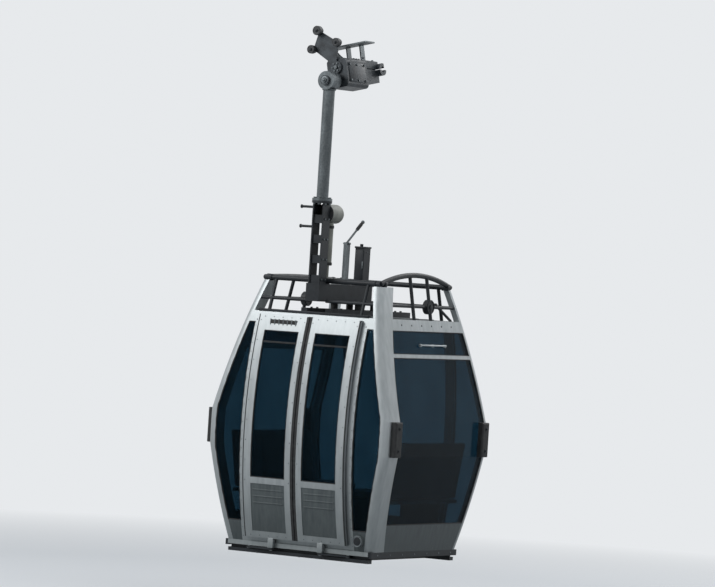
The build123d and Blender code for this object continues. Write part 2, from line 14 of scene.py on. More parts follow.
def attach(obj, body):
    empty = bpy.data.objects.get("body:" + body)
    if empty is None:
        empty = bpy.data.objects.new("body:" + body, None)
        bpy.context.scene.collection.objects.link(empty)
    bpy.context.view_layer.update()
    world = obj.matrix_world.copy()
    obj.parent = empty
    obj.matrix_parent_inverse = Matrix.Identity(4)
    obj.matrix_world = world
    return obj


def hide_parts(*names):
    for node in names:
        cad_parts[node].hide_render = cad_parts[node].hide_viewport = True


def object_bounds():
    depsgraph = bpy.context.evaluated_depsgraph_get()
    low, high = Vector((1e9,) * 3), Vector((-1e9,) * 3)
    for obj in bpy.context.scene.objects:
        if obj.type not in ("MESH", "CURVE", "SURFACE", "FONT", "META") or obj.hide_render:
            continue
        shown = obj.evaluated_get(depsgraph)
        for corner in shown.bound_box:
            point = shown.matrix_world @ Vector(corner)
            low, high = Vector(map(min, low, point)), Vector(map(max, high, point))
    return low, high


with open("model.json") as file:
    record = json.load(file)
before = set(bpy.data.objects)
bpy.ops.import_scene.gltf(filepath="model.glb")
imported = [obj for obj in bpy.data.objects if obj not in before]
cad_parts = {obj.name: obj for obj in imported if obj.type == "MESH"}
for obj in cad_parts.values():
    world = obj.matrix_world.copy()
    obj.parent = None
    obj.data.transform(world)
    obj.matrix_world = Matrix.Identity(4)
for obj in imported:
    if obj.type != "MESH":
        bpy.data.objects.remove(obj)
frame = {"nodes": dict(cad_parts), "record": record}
CAD_BOX = [list(corner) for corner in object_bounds()]
NODES = frame["nodes"]
print("frame box", CAD_BOX)


def placed(name, data):
    """A new object in the scene, at the origin."""
    made = bpy.data.objects.new(name, data)
    bpy.context.scene.collection.objects.link(made)
    return made


# %% [markdown]
# The side walls of the cabin are one arc from sill to roof, and the end walls are straight runs with an
# upright band at the waist. Anything that lies on a wall needs these two curves, so they come first,
# worked out from the corner posts of the frame.

# %% Wall curves
Z_BASE, Z_WAIST, Z_TOP = -4.03, -3.07, -1.82
HALF_BASE, HALF_WAIST, HALF_TOP = 0.700, 0.835, 0.592
END_RUNS = [(-4.03, 0.725), (-3.225, 0.885), (-2.93, 0.885), (-1.82, 0.592)]
POST_SIDE, POST_END = 0.074, 0.195
SIDES, WALLS = (("left", -1), ("right", 1)), (("front", -1), ("rear", 1))
CORNERS = [(sx, sy) for sx in (-1, 1) for sy in (-1, 1)]


def arc_through(a, b, c):
    """Centre and radius of the circle through three points."""
    (ax, ay), (bx, by), (cx, cy) = a, b, c
    d = 2 * (ax * (by - cy) + bx * (cy - ay) + cx * (ay - by))
    sa, sb, sc = ax * ax + ay * ay, bx * bx + by * by, cx * cx + cy * cy
    x = (sa * (by - cy) + sb * (cy - ay) + sc * (ay - by)) / d
    y = (sa * (cx - bx) + sb * (ax - cx) + sc * (bx - ax)) / d
    return x, y, math.hypot(ax - x, ay - y)


ARC_Y, ARC_Z, ARC_R = arc_through((HALF_BASE, Z_BASE), (HALF_WAIST, Z_WAIST), (HALF_TOP, Z_TOP))


def side_y(z):
    """Half width of the cabin at level z, on the outside of the bowed wall."""
    return ARC_Y + math.sqrt(ARC_R ** 2 - (z - ARC_Z) ** 2)


def end_x(z):
    """Half length of the cabin at level z, on the outside of the end wall."""
    for (z0, x0), (z1, x1) in zip(END_RUNS, END_RUNS[1:]):
        if z0 <= z <= z1:
            return x0 + (x1 - x0) * (z - z0) / (z1 - z0)
    return END_RUNS[0][1] if z < Z_BASE else END_RUNS[-1][1]


def levels(low, high, count):
    """Evenly spaced levels, both ends included."""
    return [low + (high - low) * k / (count - 1) for k in range(count)]


print("wall arc radius", round(ARC_R, 3))

# %% [markdown]
# The camera looks at the door side from about 31 degrees towards the right end, level with the cabin.
# It stands far off, so the picture is nearly without perspective. The cabin leans a little in the
# picture, and the camera is rolled by that much.

# %% Camera
LOOK_AZIMUTH, LOOK_ELEVATION, LOOK_ROLL = math.radians(31.5), math.radians(0.5), math.radians(3.6)
LOOK_DISTANCE, SEEN_HEIGHT, PICTURE_SHAPE = 40.0, 5.0, 715 / 587
SENSOR_MM = 36.0
target = Vector((0.0, 0.0, (CAD_BOX[0][2] + CAD_BOX[1][2]) / 2))
away = Vector((math.sin(LOOK_AZIMUTH) * math.cos(LOOK_ELEVATION),
               -math.cos(LOOK_AZIMUTH) * math.cos(LOOK_ELEVATION), math.sin(LOOK_ELEVATION)))
camera_data = bpy.data.cameras.new("camera")
camera_data.sensor_width = SENSOR_MM
camera_data.lens = SENSOR_MM * LOOK_DISTANCE / (SEEN_HEIGHT * PICTURE_SHAPE)
camera_data.clip_end = 300.0
camera = placed("camera", camera_data)
camera.location = target + away * LOOK_DISTANCE
camera.rotation_mode = "QUATERNION"
facing = (-away).to_track_quat("-Z", "Y")
camera.rotation_quaternion = facing @ Matrix.Rotation(LOOK_ROLL, 3, "Z").to_quaternion()
bpy.context.scene.camera = camera
bpy.context.scene.view_settings.view_transform = "Standard"
print("camera at", [round(v, 2) for v in camera.location], "lens", round(camera_data.lens, 1))

# %% [markdown]
# A material is a small network of nodes. Most finishes here need the same parts: a base colour that is
# varied by noise, a roughness, and a bump for the grain. This helper keeps the network of one material
# and adds a node in one short call.

# %% Material helper


class Finish:
    """One material and its node network. The plain values are for a viewer that doesn't read the network."""

    def __init__(self, name, colour, roughness, metallic=0.0):
        self.material = bpy.data.materials.new(name)
        self.material.use_nodes = True
        self.tree = self.material.node_tree
        self.shader = self.tree.nodes["Principled BSDF"]
        self.shader.inputs["Base Color"].default_value = (*colour, 1.0)
        self.shader.inputs["Roughness"].default_value = roughness
        self.shader.inputs["Metallic"].default_value = metallic
        self.place = self.node("ShaderNodeTexCoord").outputs["Object"]

    def node(self, kind, **values):
        made = self.tree.nodes.new(kind)
        for key, value in values.items():
            if key in made.inputs:
                made.inputs[key].default_value = value
            else:
                setattr(made, key, value)
        return made

    def link(self, source, target_socket):
        self.tree.links.new(source, target_socket)

    def stretch(self, scale):
        """Object coordinates stretched along the axes."""
        mapping = self.node("ShaderNodeMapping", Scale=scale)
        self.link(self.place, mapping.inputs["Vector"])
        return mapping.outputs["Vector"]

    def noise(self, scale, detail=4.0, place=None):
        made = self.node("ShaderNodeTexNoise", Scale=scale, Detail=detail)
        self.link(place or self.place, made.inputs["Vector"])
        return made.outputs["Fac"]

    def ramp(self, source, stops):
        """A colour ramp: stops are (position, colour)."""
        made = self.node("ShaderNodeValToRGB")
        while len(made.color_ramp.elements) < len(stops):
            made.color_ramp.elements.new(0.5)
        for element, (position, colour) in zip(made.color_ramp.elements, stops):
            element.position = position
            element.color = (*colour, 1.0) if len(colour) == 3 else (colour[0],) * 3 + (1.0,)
        self.link(source, made.inputs["Fac"])
        return made.outputs["Color"]

    def mix(self, factor, first, second, blend="MIX"):
        made = self.node("ShaderNodeMix", data_type="RGBA", blend_type=blend)
        colours = [s for s in made.inputs if s.type == "RGBA"]
        for socket, value in ((made.inputs[0], factor), (colours[0], first), (colours[1], second)):
            if hasattr(value, "is_linked"):
                self.link(value, socket)
            else:
                socket.default_value = value if isinstance(value, float) else (*value, 1.0)
        return [s for s in made.outputs if s.type == "RGBA"][0]

    def grime_and_shade(self, low, high, most):
        """A factor for painted shade: most at level low, and nothing from level high upwards."""
        split = self.node("ShaderNodeSeparateXYZ")
        self.link(self.place, split.inputs["Vector"])
        fade = {"From Min": low, "From Max": high, "To Min": most, "To Max": 0.0}
        made = self.node("ShaderNodeMapRange", **fade)
        self.link(split.outputs["Z"], made.inputs["Value"])
        return made.outputs["Result"]

    def colour(self, source):
        self.link(source, self.shader.inputs["Base Color"])

    def rough(self, source, low, high):
        made = self.node("ShaderNodeMapRange", **{"To Min": low, "To Max": high})
        self.link(source, made.inputs["Value"])
        self.link(made.outputs["Result"], self.shader.inputs["Roughness"])

    def bump(self, source, strength, distance):
        made = self.node("ShaderNodeBump", Strength=strength, Distance=distance)
        self.link(source, made.inputs["Height"])
        self.link(made.outputs["Normal"], self.shader.inputs["Normal"])


# %% [markdown]
# The corner posts, door frames and rails are aluminium with a satin silver finish that has weathered.
# Long thin noise down the post gives rain streaks, and fine noise gives the grain of the metal. Below the
# waist the wall leans in under itself into shade, which is painted in: the silver and the grey panels darken
# towards the sill.

# %% Metal finishes
SILL_Z, SILVER_UNSHADED_Z, PANEL_UNSHADED_Z, PAINTED_SHADE_MOST = -4.05, -3.0, -3.5, 0.5


def satin_silver():
    f = Finish("satin_silver", (0.44, 0.47, 0.48), 0.42, 0.5)
    streaks = f.noise(3.0, 6.0, f.stretch((9.0, 9.0, 0.9)))
    dirt = f.noise(2.2, 5.0)
    worn = f.ramp(streaks, [(0.30, (0.37, 0.40, 0.41)), (0.62, (0.48, 0.51, 0.52))])
    dusty = f.mix(f.ramp(dirt, [(0.35, (0.0,)), (0.75, (0.5,))]), worn, (0.34, 0.365, 0.365))
    # Painted shade: the silver darkens towards the sill, where the wall leans in under itself.
    f.colour(f.mix(f.grime_and_shade(SILL_Z, SILVER_UNSHADED_Z, PAINTED_SHADE_MOST), dusty, (0.15, 0.172, 0.17)))
    f.rough(streaks, 0.34, 0.55)
    f.bump(f.noise(420.0, 3.0, f.stretch((1.0, 1.0, 0.15))), 0.12, 0.0004)
    return f.material


def grey_panel():
    f = Finish("grey_panel", (0.11, 0.13, 0.135), 0.5, 0.25)
    streaks = f.noise(3.0, 6.0, f.stretch((10.0, 10.0, 1.0)))
    unshaded = f.ramp(streaks, [(0.3, (0.082, 0.098, 0.102)), (0.65, (0.125, 0.146, 0.15))])
    # Painted shade: the panel darkens towards the sill, where the wall leans in under itself.
    f.colour(f.mix(f.grime_and_shade(SILL_Z, PANEL_UNSHADED_Z, PAINTED_SHADE_MOST), unshaded, (0.05, 0.062, 0.062)))
    f.rough(streaks, 0.42, 0.62)
    f.bump(f.noise(160.0, 2.0), 0.08, 0.0005)
    return f.material


def black_steel():
    f = Finish("black_steel", (0.03, 0.035, 0.04), 0.45, 0.0)
    f.shader.inputs["Specular IOR Level"].default_value = 0.3
    patches = f.noise(9.0, 8.0)
    f.colour(f.ramp(patches, [(0.35, (0.012, 0.015, 0.018)), (0.68, (0.028, 0.033, 0.038))]))
    f.rough(patches, 0.36, 0.6)
    f.bump(f.noise(260.0, 3.0), 0.15, 0.0005)
    return f.material


def galvanised():
    f = Finish("galvanised", (0.17, 0.19, 0.20), 0.48, 0.55)
    spangle = f.node("ShaderNodeTexVoronoi", Scale=55.0)
    f.link(f.place, spangle.inputs["Vector"])
    flakes = f.ramp(spangle.outputs["Distance"], [(0.0, (0.125, 0.145, 0.155)), (0.8, (0.20, 0.225, 0.235))])
    stain = f.ramp(f.noise(4.0, 7.0, f.stretch((4.0, 4.0, 1.0))), [(0.38, (0.55,)), (0.7, (1.0,))])
    f.colour(f.mix(1.0, flakes, stain, "MULTIPLY"))
    f.rough(spangle.outputs["Distance"], 0.38, 0.58)
    f.bump(f.noise(120.0, 2.0), 0.1, 0.0006)
    return f.material


def cast_grip():
    f = Finish("cast_grip", (0.045, 0.053, 0.06), 0.5, 0.35)
    grease = f.noise(14.0, 6.0)
    f.colour(f.ramp(grease, [(0.36, (0.018, 0.022, 0.026)), (0.66, (0.055, 0.065, 0.073))]))
    f.rough(grease, 0.32, 0.66)
    f.bump(f.noise(310.0, 5.0), 0.35, 0.0009)
    return f.material


# %% [markdown]
# Painted, rubber and plastic parts carry no mirror-like metal. Each has a grain of its own: fine
# dimples on rubber, a soft orange peel on paint, and faint turning marks on the rollers.

# %% Paint, rubber and plastic


def pale_housing():
    f = Finish("pale_housing", (0.38, 0.385, 0.34), 0.5)
    grime_and_shade = f.noise(11.0, 8.0, f.stretch((1.0, 1.0, 0.5)))
    f.colour(f.ramp(grime_and_shade, [(0.3, (0.17, 0.175, 0.15)), (0.6, (0.38, 0.385, 0.34))]))
    f.rough(grime_and_shade, 0.4, 0.65)
    f.bump(f.noise(180.0, 2.0), 0.1, 0.0004)
    return f.material


def black_rubber():
    f = Finish("black_rubber", (0.018, 0.019, 0.020), 0.72)
    dust = f.noise(26.0, 5.0)
    f.colour(f.ramp(dust, [(0.42, (0.013, 0.014, 0.015)), (0.74, (0.042, 0.044, 0.044))]))
    f.rough(dust, 0.6, 0.85)
    f.bump(f.noise(520.0, 2.0), 0.2, 0.0004)
    return f.material


def wheel_plastic():
    f = Finish("wheel_plastic", (0.035, 0.038, 0.04), 0.5)
    scuff = f.noise(60.0, 4.0)
    f.colour(f.ramp(scuff, [(0.4, (0.020, 0.022, 0.024)), (0.7, (0.055, 0.058, 0.062))]))
    f.rough(scuff, 0.42, 0.66)
    f.bump(scuff, 0.12, 0.0005)
    return f.material


def floor_tread():
    f = Finish("floor_tread", (0.09, 0.09, 0.095), 0.7)
    wave = f.node("ShaderNodeTexWave", Scale=26.0, Distortion=0.0)
    f.link(f.place, wave.inputs["Vector"])
    f.colour(f.ramp(wave.outputs["Fac"], [(0.2, (0.05, 0.05, 0.053)), (0.8, (0.11, 0.11, 0.115))]))
    f.bump(wave.outputs["Fac"], 0.5, 0.002)
    return f.material


def seat_leather():
    f = Finish("seat_leather", (0.045, 0.047, 0.053), 0.5)
    grain = f.node("ShaderNodeTexVoronoi", Scale=260.0)
    f.link(f.place, grain.inputs["Vector"])
    f.colour(f.ramp(f.noise(6.0, 5.0), [(0.35, (0.035, 0.037, 0.042)), (0.7, (0.060, 0.062, 0.068))]))
    f.rough(grain.outputs["Distance"], 0.42, 0.6)
    f.bump(grain.outputs["Distance"], 0.3, 0.0006)
    return f.material


# %% [markdown]
# The panes are smoked acrylic. Light passes through them, tinted, so the benches show as darker shapes
# inside. A little roughness variation stands for dust that rain has left. The index of refraction is
# below that of acrylic, 1.49. It alone sets how much a see-through surface mirrors, and at 1.49 the pale
# studio hides the inside.

# %% Smoked pane


def smoked_pane():
    f = Finish("smoked_pane", (0.08, 0.155, 0.20), 0.04)
    for key, value in (("Transmission Weight", 0.97), ("IOR", 1.14), ("Specular IOR Level", 0.14),
                       ("Specular Tint", (0.30, 0.45, 0.55, 1.0))):
        f.shader.inputs[key].default_value = value
    film = f.noise(5.0, 6.0, f.stretch((1.0, 1.0, 0.4)))
    f.colour(f.ramp(film, [(0.35, (0.062, 0.128, 0.172)), (0.7, (0.095, 0.172, 0.218))]))
    f.rough(film, 0.02, 0.05)
    return f.material


FINISHES = {
    "silver": satin_silver(), "grey_panel": grey_panel(), "smoked_pane": smoked_pane(),
    "black_rubber": black_rubber(), "black_steel": black_steel(), "galvanised": galvanised(),
    "pale_housing": pale_housing(), "cast_grip": cast_grip(), "wheel_plastic": wheel_plastic(),
    "seat_pad": seat_leather(), "floor_tread": floor_tread(),
}
print("finishes", len(FINISHES))

# %% [markdown]
# Every piece of the frame takes the finish that its record names. Only the material changes: the mesh
# of a frame piece is never touched.

# %% Dress the frame
for part in frame["record"]["subparts"]:
    shown = NODES[part["node"]]
    shown.data.materials.clear()
    shown.data.materials.append(FINISHES[part["material_slot"]])
print("frame pieces dressed", len(NODES))

# %% [markdown]
# New pieces all end the same way: the bmesh becomes an object at the origin, gets its finish, and rides
# on a body. Faces that meet at a shallow angle are shaded smooth, and sharp edges stay crisp.

# %% Make a piece
SMOOTH_ANGLE = math.radians(35)


def object_from(bm, name):
    """Turn a bmesh into an object."""
    mesh = bpy.data.meshes.new(name)
    bm.to_mesh(mesh)
    bm.free()
    return placed(name, mesh)


def piece_from(bm, name, body, slot):
    """Turn a bmesh into a finished piece that rides on a body."""
    bmesh.ops.recalc_face_normals(bm, faces=bm.faces)
    made = object_from(bm, name)
    for face in made.data.polygons:
        face.use_smooth = True
    made.data.set_sharp_from_angle(angle=SMOOTH_ANGLE)
    made.data.materials.append(FINISHES[slot])
    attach(made, body)
    return made


def turned_to(direction):
    """A rotation that takes +Z to a direction."""
    return Vector(direction).to_track_quat("Z", "Y").to_matrix().to_4x4()


def circle_places(count, radius, turn=0.0):
    """Pairs of offsets to the places round a circle."""
    steps = [turn + 2 * math.pi * k / count for k in range(count)]
    return [(radius * math.cos(step), radius * math.sin(step)) for step in steps]


def add_dome(bm, place, normal, radius, height=None):
    """A low round head, such as a rivet or a screw, on a surface."""
    sphere = bmesh.ops.create_uvsphere(bm, u_segments=8, v_segments=5, radius=radius)
    flat = Matrix.Diagonal((1.0, 1.0, (height or radius * 0.5) / radius, 1.0))
    where = Matrix.Translation(place) @ turned_to(normal) @ flat
    bmesh.ops.transform(bm, matrix=where, verts=sphere["verts"])


def soften(bm, edges, offset):
    """Round off edges with two faces."""
    bmesh.ops.bevel(bm, geom=edges, offset=offset, offset_type="OFFSET", segments=2, profile=0.5,
                    affect="EDGES", material=-1)


def edges_at(verts):
    """The edges of some points, each once and always in the same order."""
    return list(dict.fromkeys(e for v in verts for e in v.link_edges))


def add_disc(bm, start, end, radius, segments=32, bevel=0.0):
    """A round bar or disc from start to end, with softened rims."""
    along = Vector(end) - Vector(start)
    cone = bmesh.ops.create_cone(bm, cap_ends=True, segments=segments, radius1=radius, radius2=radius,
                                 depth=along.length)
    where = Matrix.Translation((Vector(start) + Vector(end)) / 2) @ turned_to(along)
    bmesh.ops.transform(bm, matrix=where, verts=cone["verts"])
    if bevel:
        rims = [e for e in edges_at(cone["verts"]) if any(len(f.verts) > 4 for f in e.link_faces)]
        soften(bm, rims, bevel)


def add_hex(bm, place, normal, across, height):
    """A hexagon bolt head standing on a surface."""
    normal = Vector(normal).normalized()
    add_disc(bm, Vector(place), Vector(place) + normal * height, across / 2, segments=6)


def add_block(bm, corner, opposite, bevel=0.0):
    """A box between two opposite corners, with softened edges."""
    cube = bmesh.ops.create_cube(bm, size=1.0)
    low, high = (Vector([pick(pair) for pair in zip(corner, opposite)]) for pick in (min, max))
    where = Matrix.Translation((low + high) / 2) @ Matrix.Diagonal((*(high - low), 1.0))
    bmesh.ops.transform(bm, matrix=where, verts=cube["verts"])
    if bevel:
        soften(bm, edges_at(cube["verts"]), bevel)


# %% [markdown]
# Each pane sits in a black rubber gasket. A gasket is a closed run of points on the wall, given a
# round section by a curve, and then made a mesh.

# %% Gasket maker


def bead(points, radius, name, body, slot, closed=True):
    """A round bead along points, as a mesh piece."""
    curve = bpy.data.curves.new(name, "CURVE")
    curve.dimensions = "3D"
    curve.bevel_depth = radius
    curve.bevel_resolution = 2
    spline = curve.splines.new("POLY")
    spline.points.add(len(points) - 1)
    for point, place in zip(spline.points, points):
        point.co = (*place, 1.0)
    spline.use_cyclic_u = closed
    shape = placed(name + "_path", curve)
    bpy.context.view_layer.update()
    mesh = bpy.data.meshes.new_from_object(shape)
    bpy.data.objects.remove(shape)
    bm = bmesh.new()
    bm.from_mesh(mesh)
    bpy.data.meshes.remove(mesh)
    return piece_from(bm, name, body, slot)


# %% [markdown]
# One function lays the points round a pane on a bowed side wall, and another round one on an end wall. A
# gasket sits back a little, so that half of its bead shows.

# %% Gaskets round every pane
HEADER_LOW, VENT_LOW, TRANSOM_LOW = -2.18, -2.37, -2.405
PANE_LOW, QUARTER_LOW = -3.80, -3.86
JAMB_OUT, DOORWAY_HALF = 0.555, 0.47
GASKET_R, SET_BACK = 0.007, 0.006


def side_loop(x_in, x_out, low, high, sign, proud=0.0, count=15):
    """Points round a pane on a side wall. An x limit is a number, or a function of the level."""
    way = [(x_in, z) for z in levels(low, high, count)] + [(x_out, z) for z in levels(high, low, count)]
    return [(x(z) if callable(x) else x, sign * (side_y(z) + proud - SET_BACK), z) for x, z in way]


def end_loop(low, high, sign, count=15):
    """Points round a pane on an end wall."""
    stops = sorted(set(levels(low, high, count) + [z for z, _ in END_RUNS if low < z < high]))
    rear = [(sign * (end_x(z) - SET_BACK), side_y(z) - POST_SIDE, z) for z in stops]
    front = [(sign * (end_x(z) - SET_BACK), POST_END - side_y(z), z) for z in reversed(stops)]
    return rear + front


for hand, side in SIDES:
    bead(end_loop(PANE_LOW, TRANSOM_LOW, side), GASKET_R, "end_gasket_" + hand, "cabin", "black_rubber")
    bead(end_loop(VENT_LOW, HEADER_LOW, side, 5), GASKET_R, "vent_gasket_" + hand, "cabin", "black_rubber")
    for face, across in WALLS:
        by_post = (lambda z, s=side: s * (end_x(z) - POST_SIDE))
        bead(side_loop(side * JAMB_OUT, by_post, QUARTER_LOW, HEADER_LOW, across), GASKET_R,
             "quarter_gasket_" + face + "_" + hand, "cabin", "black_rubber")
bead(side_loop(-DOORWAY_HALF, DOORWAY_HALF, PANE_LOW, HEADER_LOW, 1), GASKET_R,
     "rear_gasket", "cabin", "black_rubber")

# %% [markdown]
# The door leaves stand a little proud of the wall. Each has a gasket round its window, pressed ribs
# across the lower panel, and rivets along its frame.

# %% Door leaves
LEAF_PROUD = 0.041
LEAF_SEAM, LEAF_GLASS_IN, LEAF_GLASS_OUT, LEAF_HALF = 0.028, 0.084, 0.420, 0.500
LEAF_PANE_LOW, LEAF_PANE_HIGH = -3.48, -2.245
PANEL_HIGH = -3.535
RIB_COUNT, RIB_HALF, RIB_PROUD, LEAF_RIVET_R = 3, 0.006, 0.004, 0.005


def leaf_face(z, back=0.0):
    """Where the outside of a leaf is along Y."""
    return -(side_y(z) + LEAF_PROUD - back)


for hand, side in SIDES:
    body = "door_leaf_" + hand
    x0, x1 = side * LEAF_GLASS_IN, side * LEAF_GLASS_OUT
    bead(side_loop(x0, x1, LEAF_PANE_LOW, LEAF_PANE_HIGH, -1, LEAF_PROUD), GASKET_R,
         "leaf_gasket_" + hand, body, "black_rubber")
    bm = bmesh.new()
    for z in levels(PANEL_HIGH - 0.16, PANEL_HIGH - 0.05, RIB_COUNT):
        y = leaf_face(z, 0.004)
        low = (x0 + side * 0.02, y - RIB_PROUD, z - RIB_HALF)
        add_block(bm, low, (x1 - side * 0.02, y + 0.004, z + RIB_HALF), RIB_PROUD * 0.6)
    piece_from(bm, "leaf_ribs_" + hand, body, "grey_panel")
    bm = bmesh.new()
    columns = (LEAF_HALF - 0.024, LEAF_SEAM + 0.012)
    spots = [(x, z) for z in levels(LEAF_PANE_LOW - 0.03, -2.16, 9) for x in columns]
    spots += [(x, z) for x in levels(LEAF_SEAM + 0.06, LEAF_HALF - 0.06, 5) for z in (-2.128, -3.972)]
    for x, z in spots:
        add_dome(bm, (side * x, leaf_face(z), z), (0, -1, 0), LEAF_RIVET_R)
    piece_from(bm, "leaf_rivets_" + hand, body, "galvanised")

# %% [markdown]
# A thin aluminium strip clamps the rubber along the outer side of each leaf, and a soft lip on the right
# leaf closes the seam between the two. Each starts as a flat grid whose rows are moved onto the leaf's
# curve, and one extrusion gives it its thickness.

# %% Strips along the leaves
LEAF_LOW, LEAF_HIGH, STRIP_ROWS = -3.990, -2.113, 28
STRIP_START, STRIP_THICK, STRIP_DEPTHS = 0.4995, 0.003, (0.013, 0.035)
LIP_START, LIP_THICK, LIP_DEPTHS = 0.0045, -0.007, (0.018, 0.025)


def leaf_strip(name, body, slot, start, thick, depths):
    """A strip that follows the bow of a leaf, thick along X."""
    bm = bmesh.new()
    bmesh.ops.create_grid(bm, x_segments=1, y_segments=STRIP_ROWS, size=0.5)
    for v in bm.verts:
        z = LEAF_LOW + (v.co.y + 0.5) * (LEAF_HIGH - LEAF_LOW)
        proud = depths[0] + (v.co.x + 0.5) * (depths[1] - depths[0])
        v.co = (start, -(side_y(z) + proud), z)
    grown = bmesh.ops.extrude_face_region(bm, geom=bm.faces[:])
    moved = [v for v in grown["geom"] if isinstance(v, bmesh.types.BMVert)]
    bmesh.ops.translate(bm, vec=(thick, 0, 0), verts=moved)
    piece_from(bm, name, body, slot)


for hand, side in SIDES:
    leaf_strip("leaf_strip_" + hand, "door_leaf_" + hand, "silver", side * STRIP_START, side * STRIP_THICK,
               STRIP_DEPTHS)
leaf_strip("seam_lip", "door_leaf_right", "black_rubber", LIP_START, LIP_THICK, LIP_DEPTHS)

# %% [markdown]
# The left leaf alone has a small grille in its top rail: a dark plate with upright bars over it.

# %% Grille of the left leaf
GRILLE_X, GRILLE_Z, SLOT_COUNT = (-0.375, -0.125), (-2.205, -2.150), 6
bm = bmesh.new()
y = leaf_face(sum(GRILLE_Z) / 2)
add_block(bm, (GRILLE_X[0], y - 0.002, GRILLE_Z[0]), (GRILLE_X[1], y + 0.004, GRILLE_Z[1]), 0.001)
piece_from(bm, "grille_back_left", "door_leaf_left", "black_rubber")
bm = bmesh.new()
for x in levels(GRILLE_X[0], GRILLE_X[1], SLOT_COUNT + 1):
    low, high = (x - 0.005, y - 0.005, GRILLE_Z[0] - 0.004), (x + 0.005, y + 0.003, GRILLE_Z[1] + 0.004)
    add_block(bm, low, high, 0.001)
piece_from(bm, "grille_bars_left", "door_leaf_left", "galvanised")

# %% [markdown]
# The benches are foam under synthetic leather. Each cushion starts as a plain slab a little smaller than
# its solid. It is remeshed into even faces, then cloth with a light inner pressure swells it, so the sides
# pull in between the corners. A limit on how far a point may move keeps it in the space of its solid.

# %% Cushion slabs
SEAT_HALF, SEAT_LOW, SEAT_TOP, BACK_TOP = 0.610, -3.600, -3.530, -3.100
BACK_FOOT, BACK_HEAD, CUSHION, SEAT_FRONT = 0.7445, 0.819, 0.070, 0.2445
SLAB_INSET, VOXEL, SWELL_CAP, SEWN_AT = 0.006, 0.010, 0.007, (-0.2033, 0.2033)


def slab(name, low, high, lean=0.0):
    """A rounded slab between two corners, leaning along X by lean for each metre up."""
    bm = bmesh.new()
    low, high = Vector(low) + Vector((SLAB_INSET,) * 3), Vector(high) - Vector((SLAB_INSET,) * 3)
    add_block(bm, low, high, 0.014)
    shear = Matrix.Identity(4)
    shear[0][2], shear[0][3] = lean, -lean * low.z
    bmesh.ops.transform(bm, matrix=shear, verts=bm.verts)
    return object_from(bm, name)


def applied(made):
    """Replace the mesh of an object by what its modifiers make of it."""
    seen_by = bpy.context.evaluated_depsgraph_get()
    mesh = bpy.data.meshes.new_from_object(made.evaluated_get(seen_by))
    made.modifiers.clear()
    made.data = mesh
    return mesh


def even_faces(made):
    """Voxel remesh, so that the cloth has faces of one size."""
    remesh = made.modifiers.new("even", "REMESH")
    remesh.mode, remesh.voxel_size = "VOXEL", VOXEL
    return [v.co.copy() for v in applied(made).vertices]


BACK_LEAN = (BACK_HEAD - BACK_FOOT) / (BACK_TOP - SEAT_LOW)
CUSHIONS = []
for hand, side in SIDES:
    front, rear = sorted((side * SEAT_FRONT, side * (BACK_FOOT - CUSHION)))
    seat = slab("seat_pad_" + hand, (front, -SEAT_HALF, SEAT_LOW), (rear, SEAT_HALF, SEAT_TOP))
    front, rear = sorted((side * (BACK_FOOT - CUSHION), side * BACK_FOOT))
    back = slab("back_pad_" + hand, (front, -SEAT_HALF, SEAT_LOW), (rear, SEAT_HALF, BACK_TOP),
                side * BACK_LEAN)
    CUSHIONS.append((seat, "seat_" + hand, Vector((0, 0, 1))))
    CUSHIONS.append((back, "seat_back_" + hand, Vector((-side, 0, 0))))

# %% [markdown]
# All four cushions swell in one run of the cloth, without gravity.

# %% Swell the cushions
SWELL_FRAMES, SWELL_PRESSURE, CLOTH_STEPS = 20, 4.0, 5
starts = [even_faces(pad) for pad, node, outward in CUSHIONS]
for pad, node, outward in CUSHIONS:
    cloth = pad.modifiers.new("foam", "CLOTH").settings
    cloth.use_pressure, cloth.uniform_pressure_force = True, SWELL_PRESSURE
    cloth.effector_weights.gravity = 0.0
    cloth.quality = CLOTH_STEPS
for step in range(1, SWELL_FRAMES + 1):
    bpy.context.scene.frame_set(step)
for (pad, node, outward), start in zip(CUSHIONS, starts):
    for vertex, first in zip(applied(pad).vertices, start):
        moved = vertex.co - first
        if moved.length > SWELL_CAP:
            vertex.co = first + moved.normalized() * SWELL_CAP
bpy.context.scene.frame_set(1)
print("cushions", [len(pad.data.vertices) for pad, node, outward in CUSHIONS])

# %% [markdown]
# Each cushion is sewn through in two channels, which makes three places of it. A channel is a shallow
# valley with round shoulders, pressed into the top or the front of the cushion after the cloth is done.

# %% Sewn channels and leather
CHANNEL_DEPTH, CHANNEL_HALF, FACE_FROM = 0.010, 0.022, 0.008
for pad, node, outward in CUSHIONS:
    centre = sum((v.co for v in pad.data.vertices), Vector()) / len(pad.data.vertices)
    for vertex in pad.data.vertices:
        above = (vertex.co - centre).dot(outward)
        if above > FACE_FROM:
            near = min(abs(vertex.co.y - y) for y in SEWN_AT) / CHANNEL_HALF
            vertex.co -= outward * CHANNEL_DEPTH * math.exp(-near * near * 2.0)
    for face in pad.data.polygons:
        face.use_smooth = True
    fine = pad.modifiers.new("fine", "SUBSURF")
    fine.levels = fine.render_levels = 1
    pad.data.materials.clear()
    pad.data.materials.append(FINISHES["seat_pad"])
    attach(pad, "cabin")
    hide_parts(node)

# %% [markdown]
# Small fixings tell the eye how large a machine is. The hanger is bolted together at its flanges and along
# its column, and the cabin hangs on four rubber mounts. All the heads are hexagons from one helper.

# %% Hanger bolts
HANGER_Y, FLANGE_Z, FLANGE_THICK, FOOT_TOP = -0.660, -1.130, 0.020, -1.825
FLANGE_BOLTS, BOLT_RING, COLUMN_HALF = 8, 0.069, 0.055


def ring_places(centre, radius, count, turn=0.0):
    """Places round a circle that lies level."""
    return [Vector(centre) + Vector((dx, dy, 0)) for dx, dy in circle_places(count, radius, turn)]


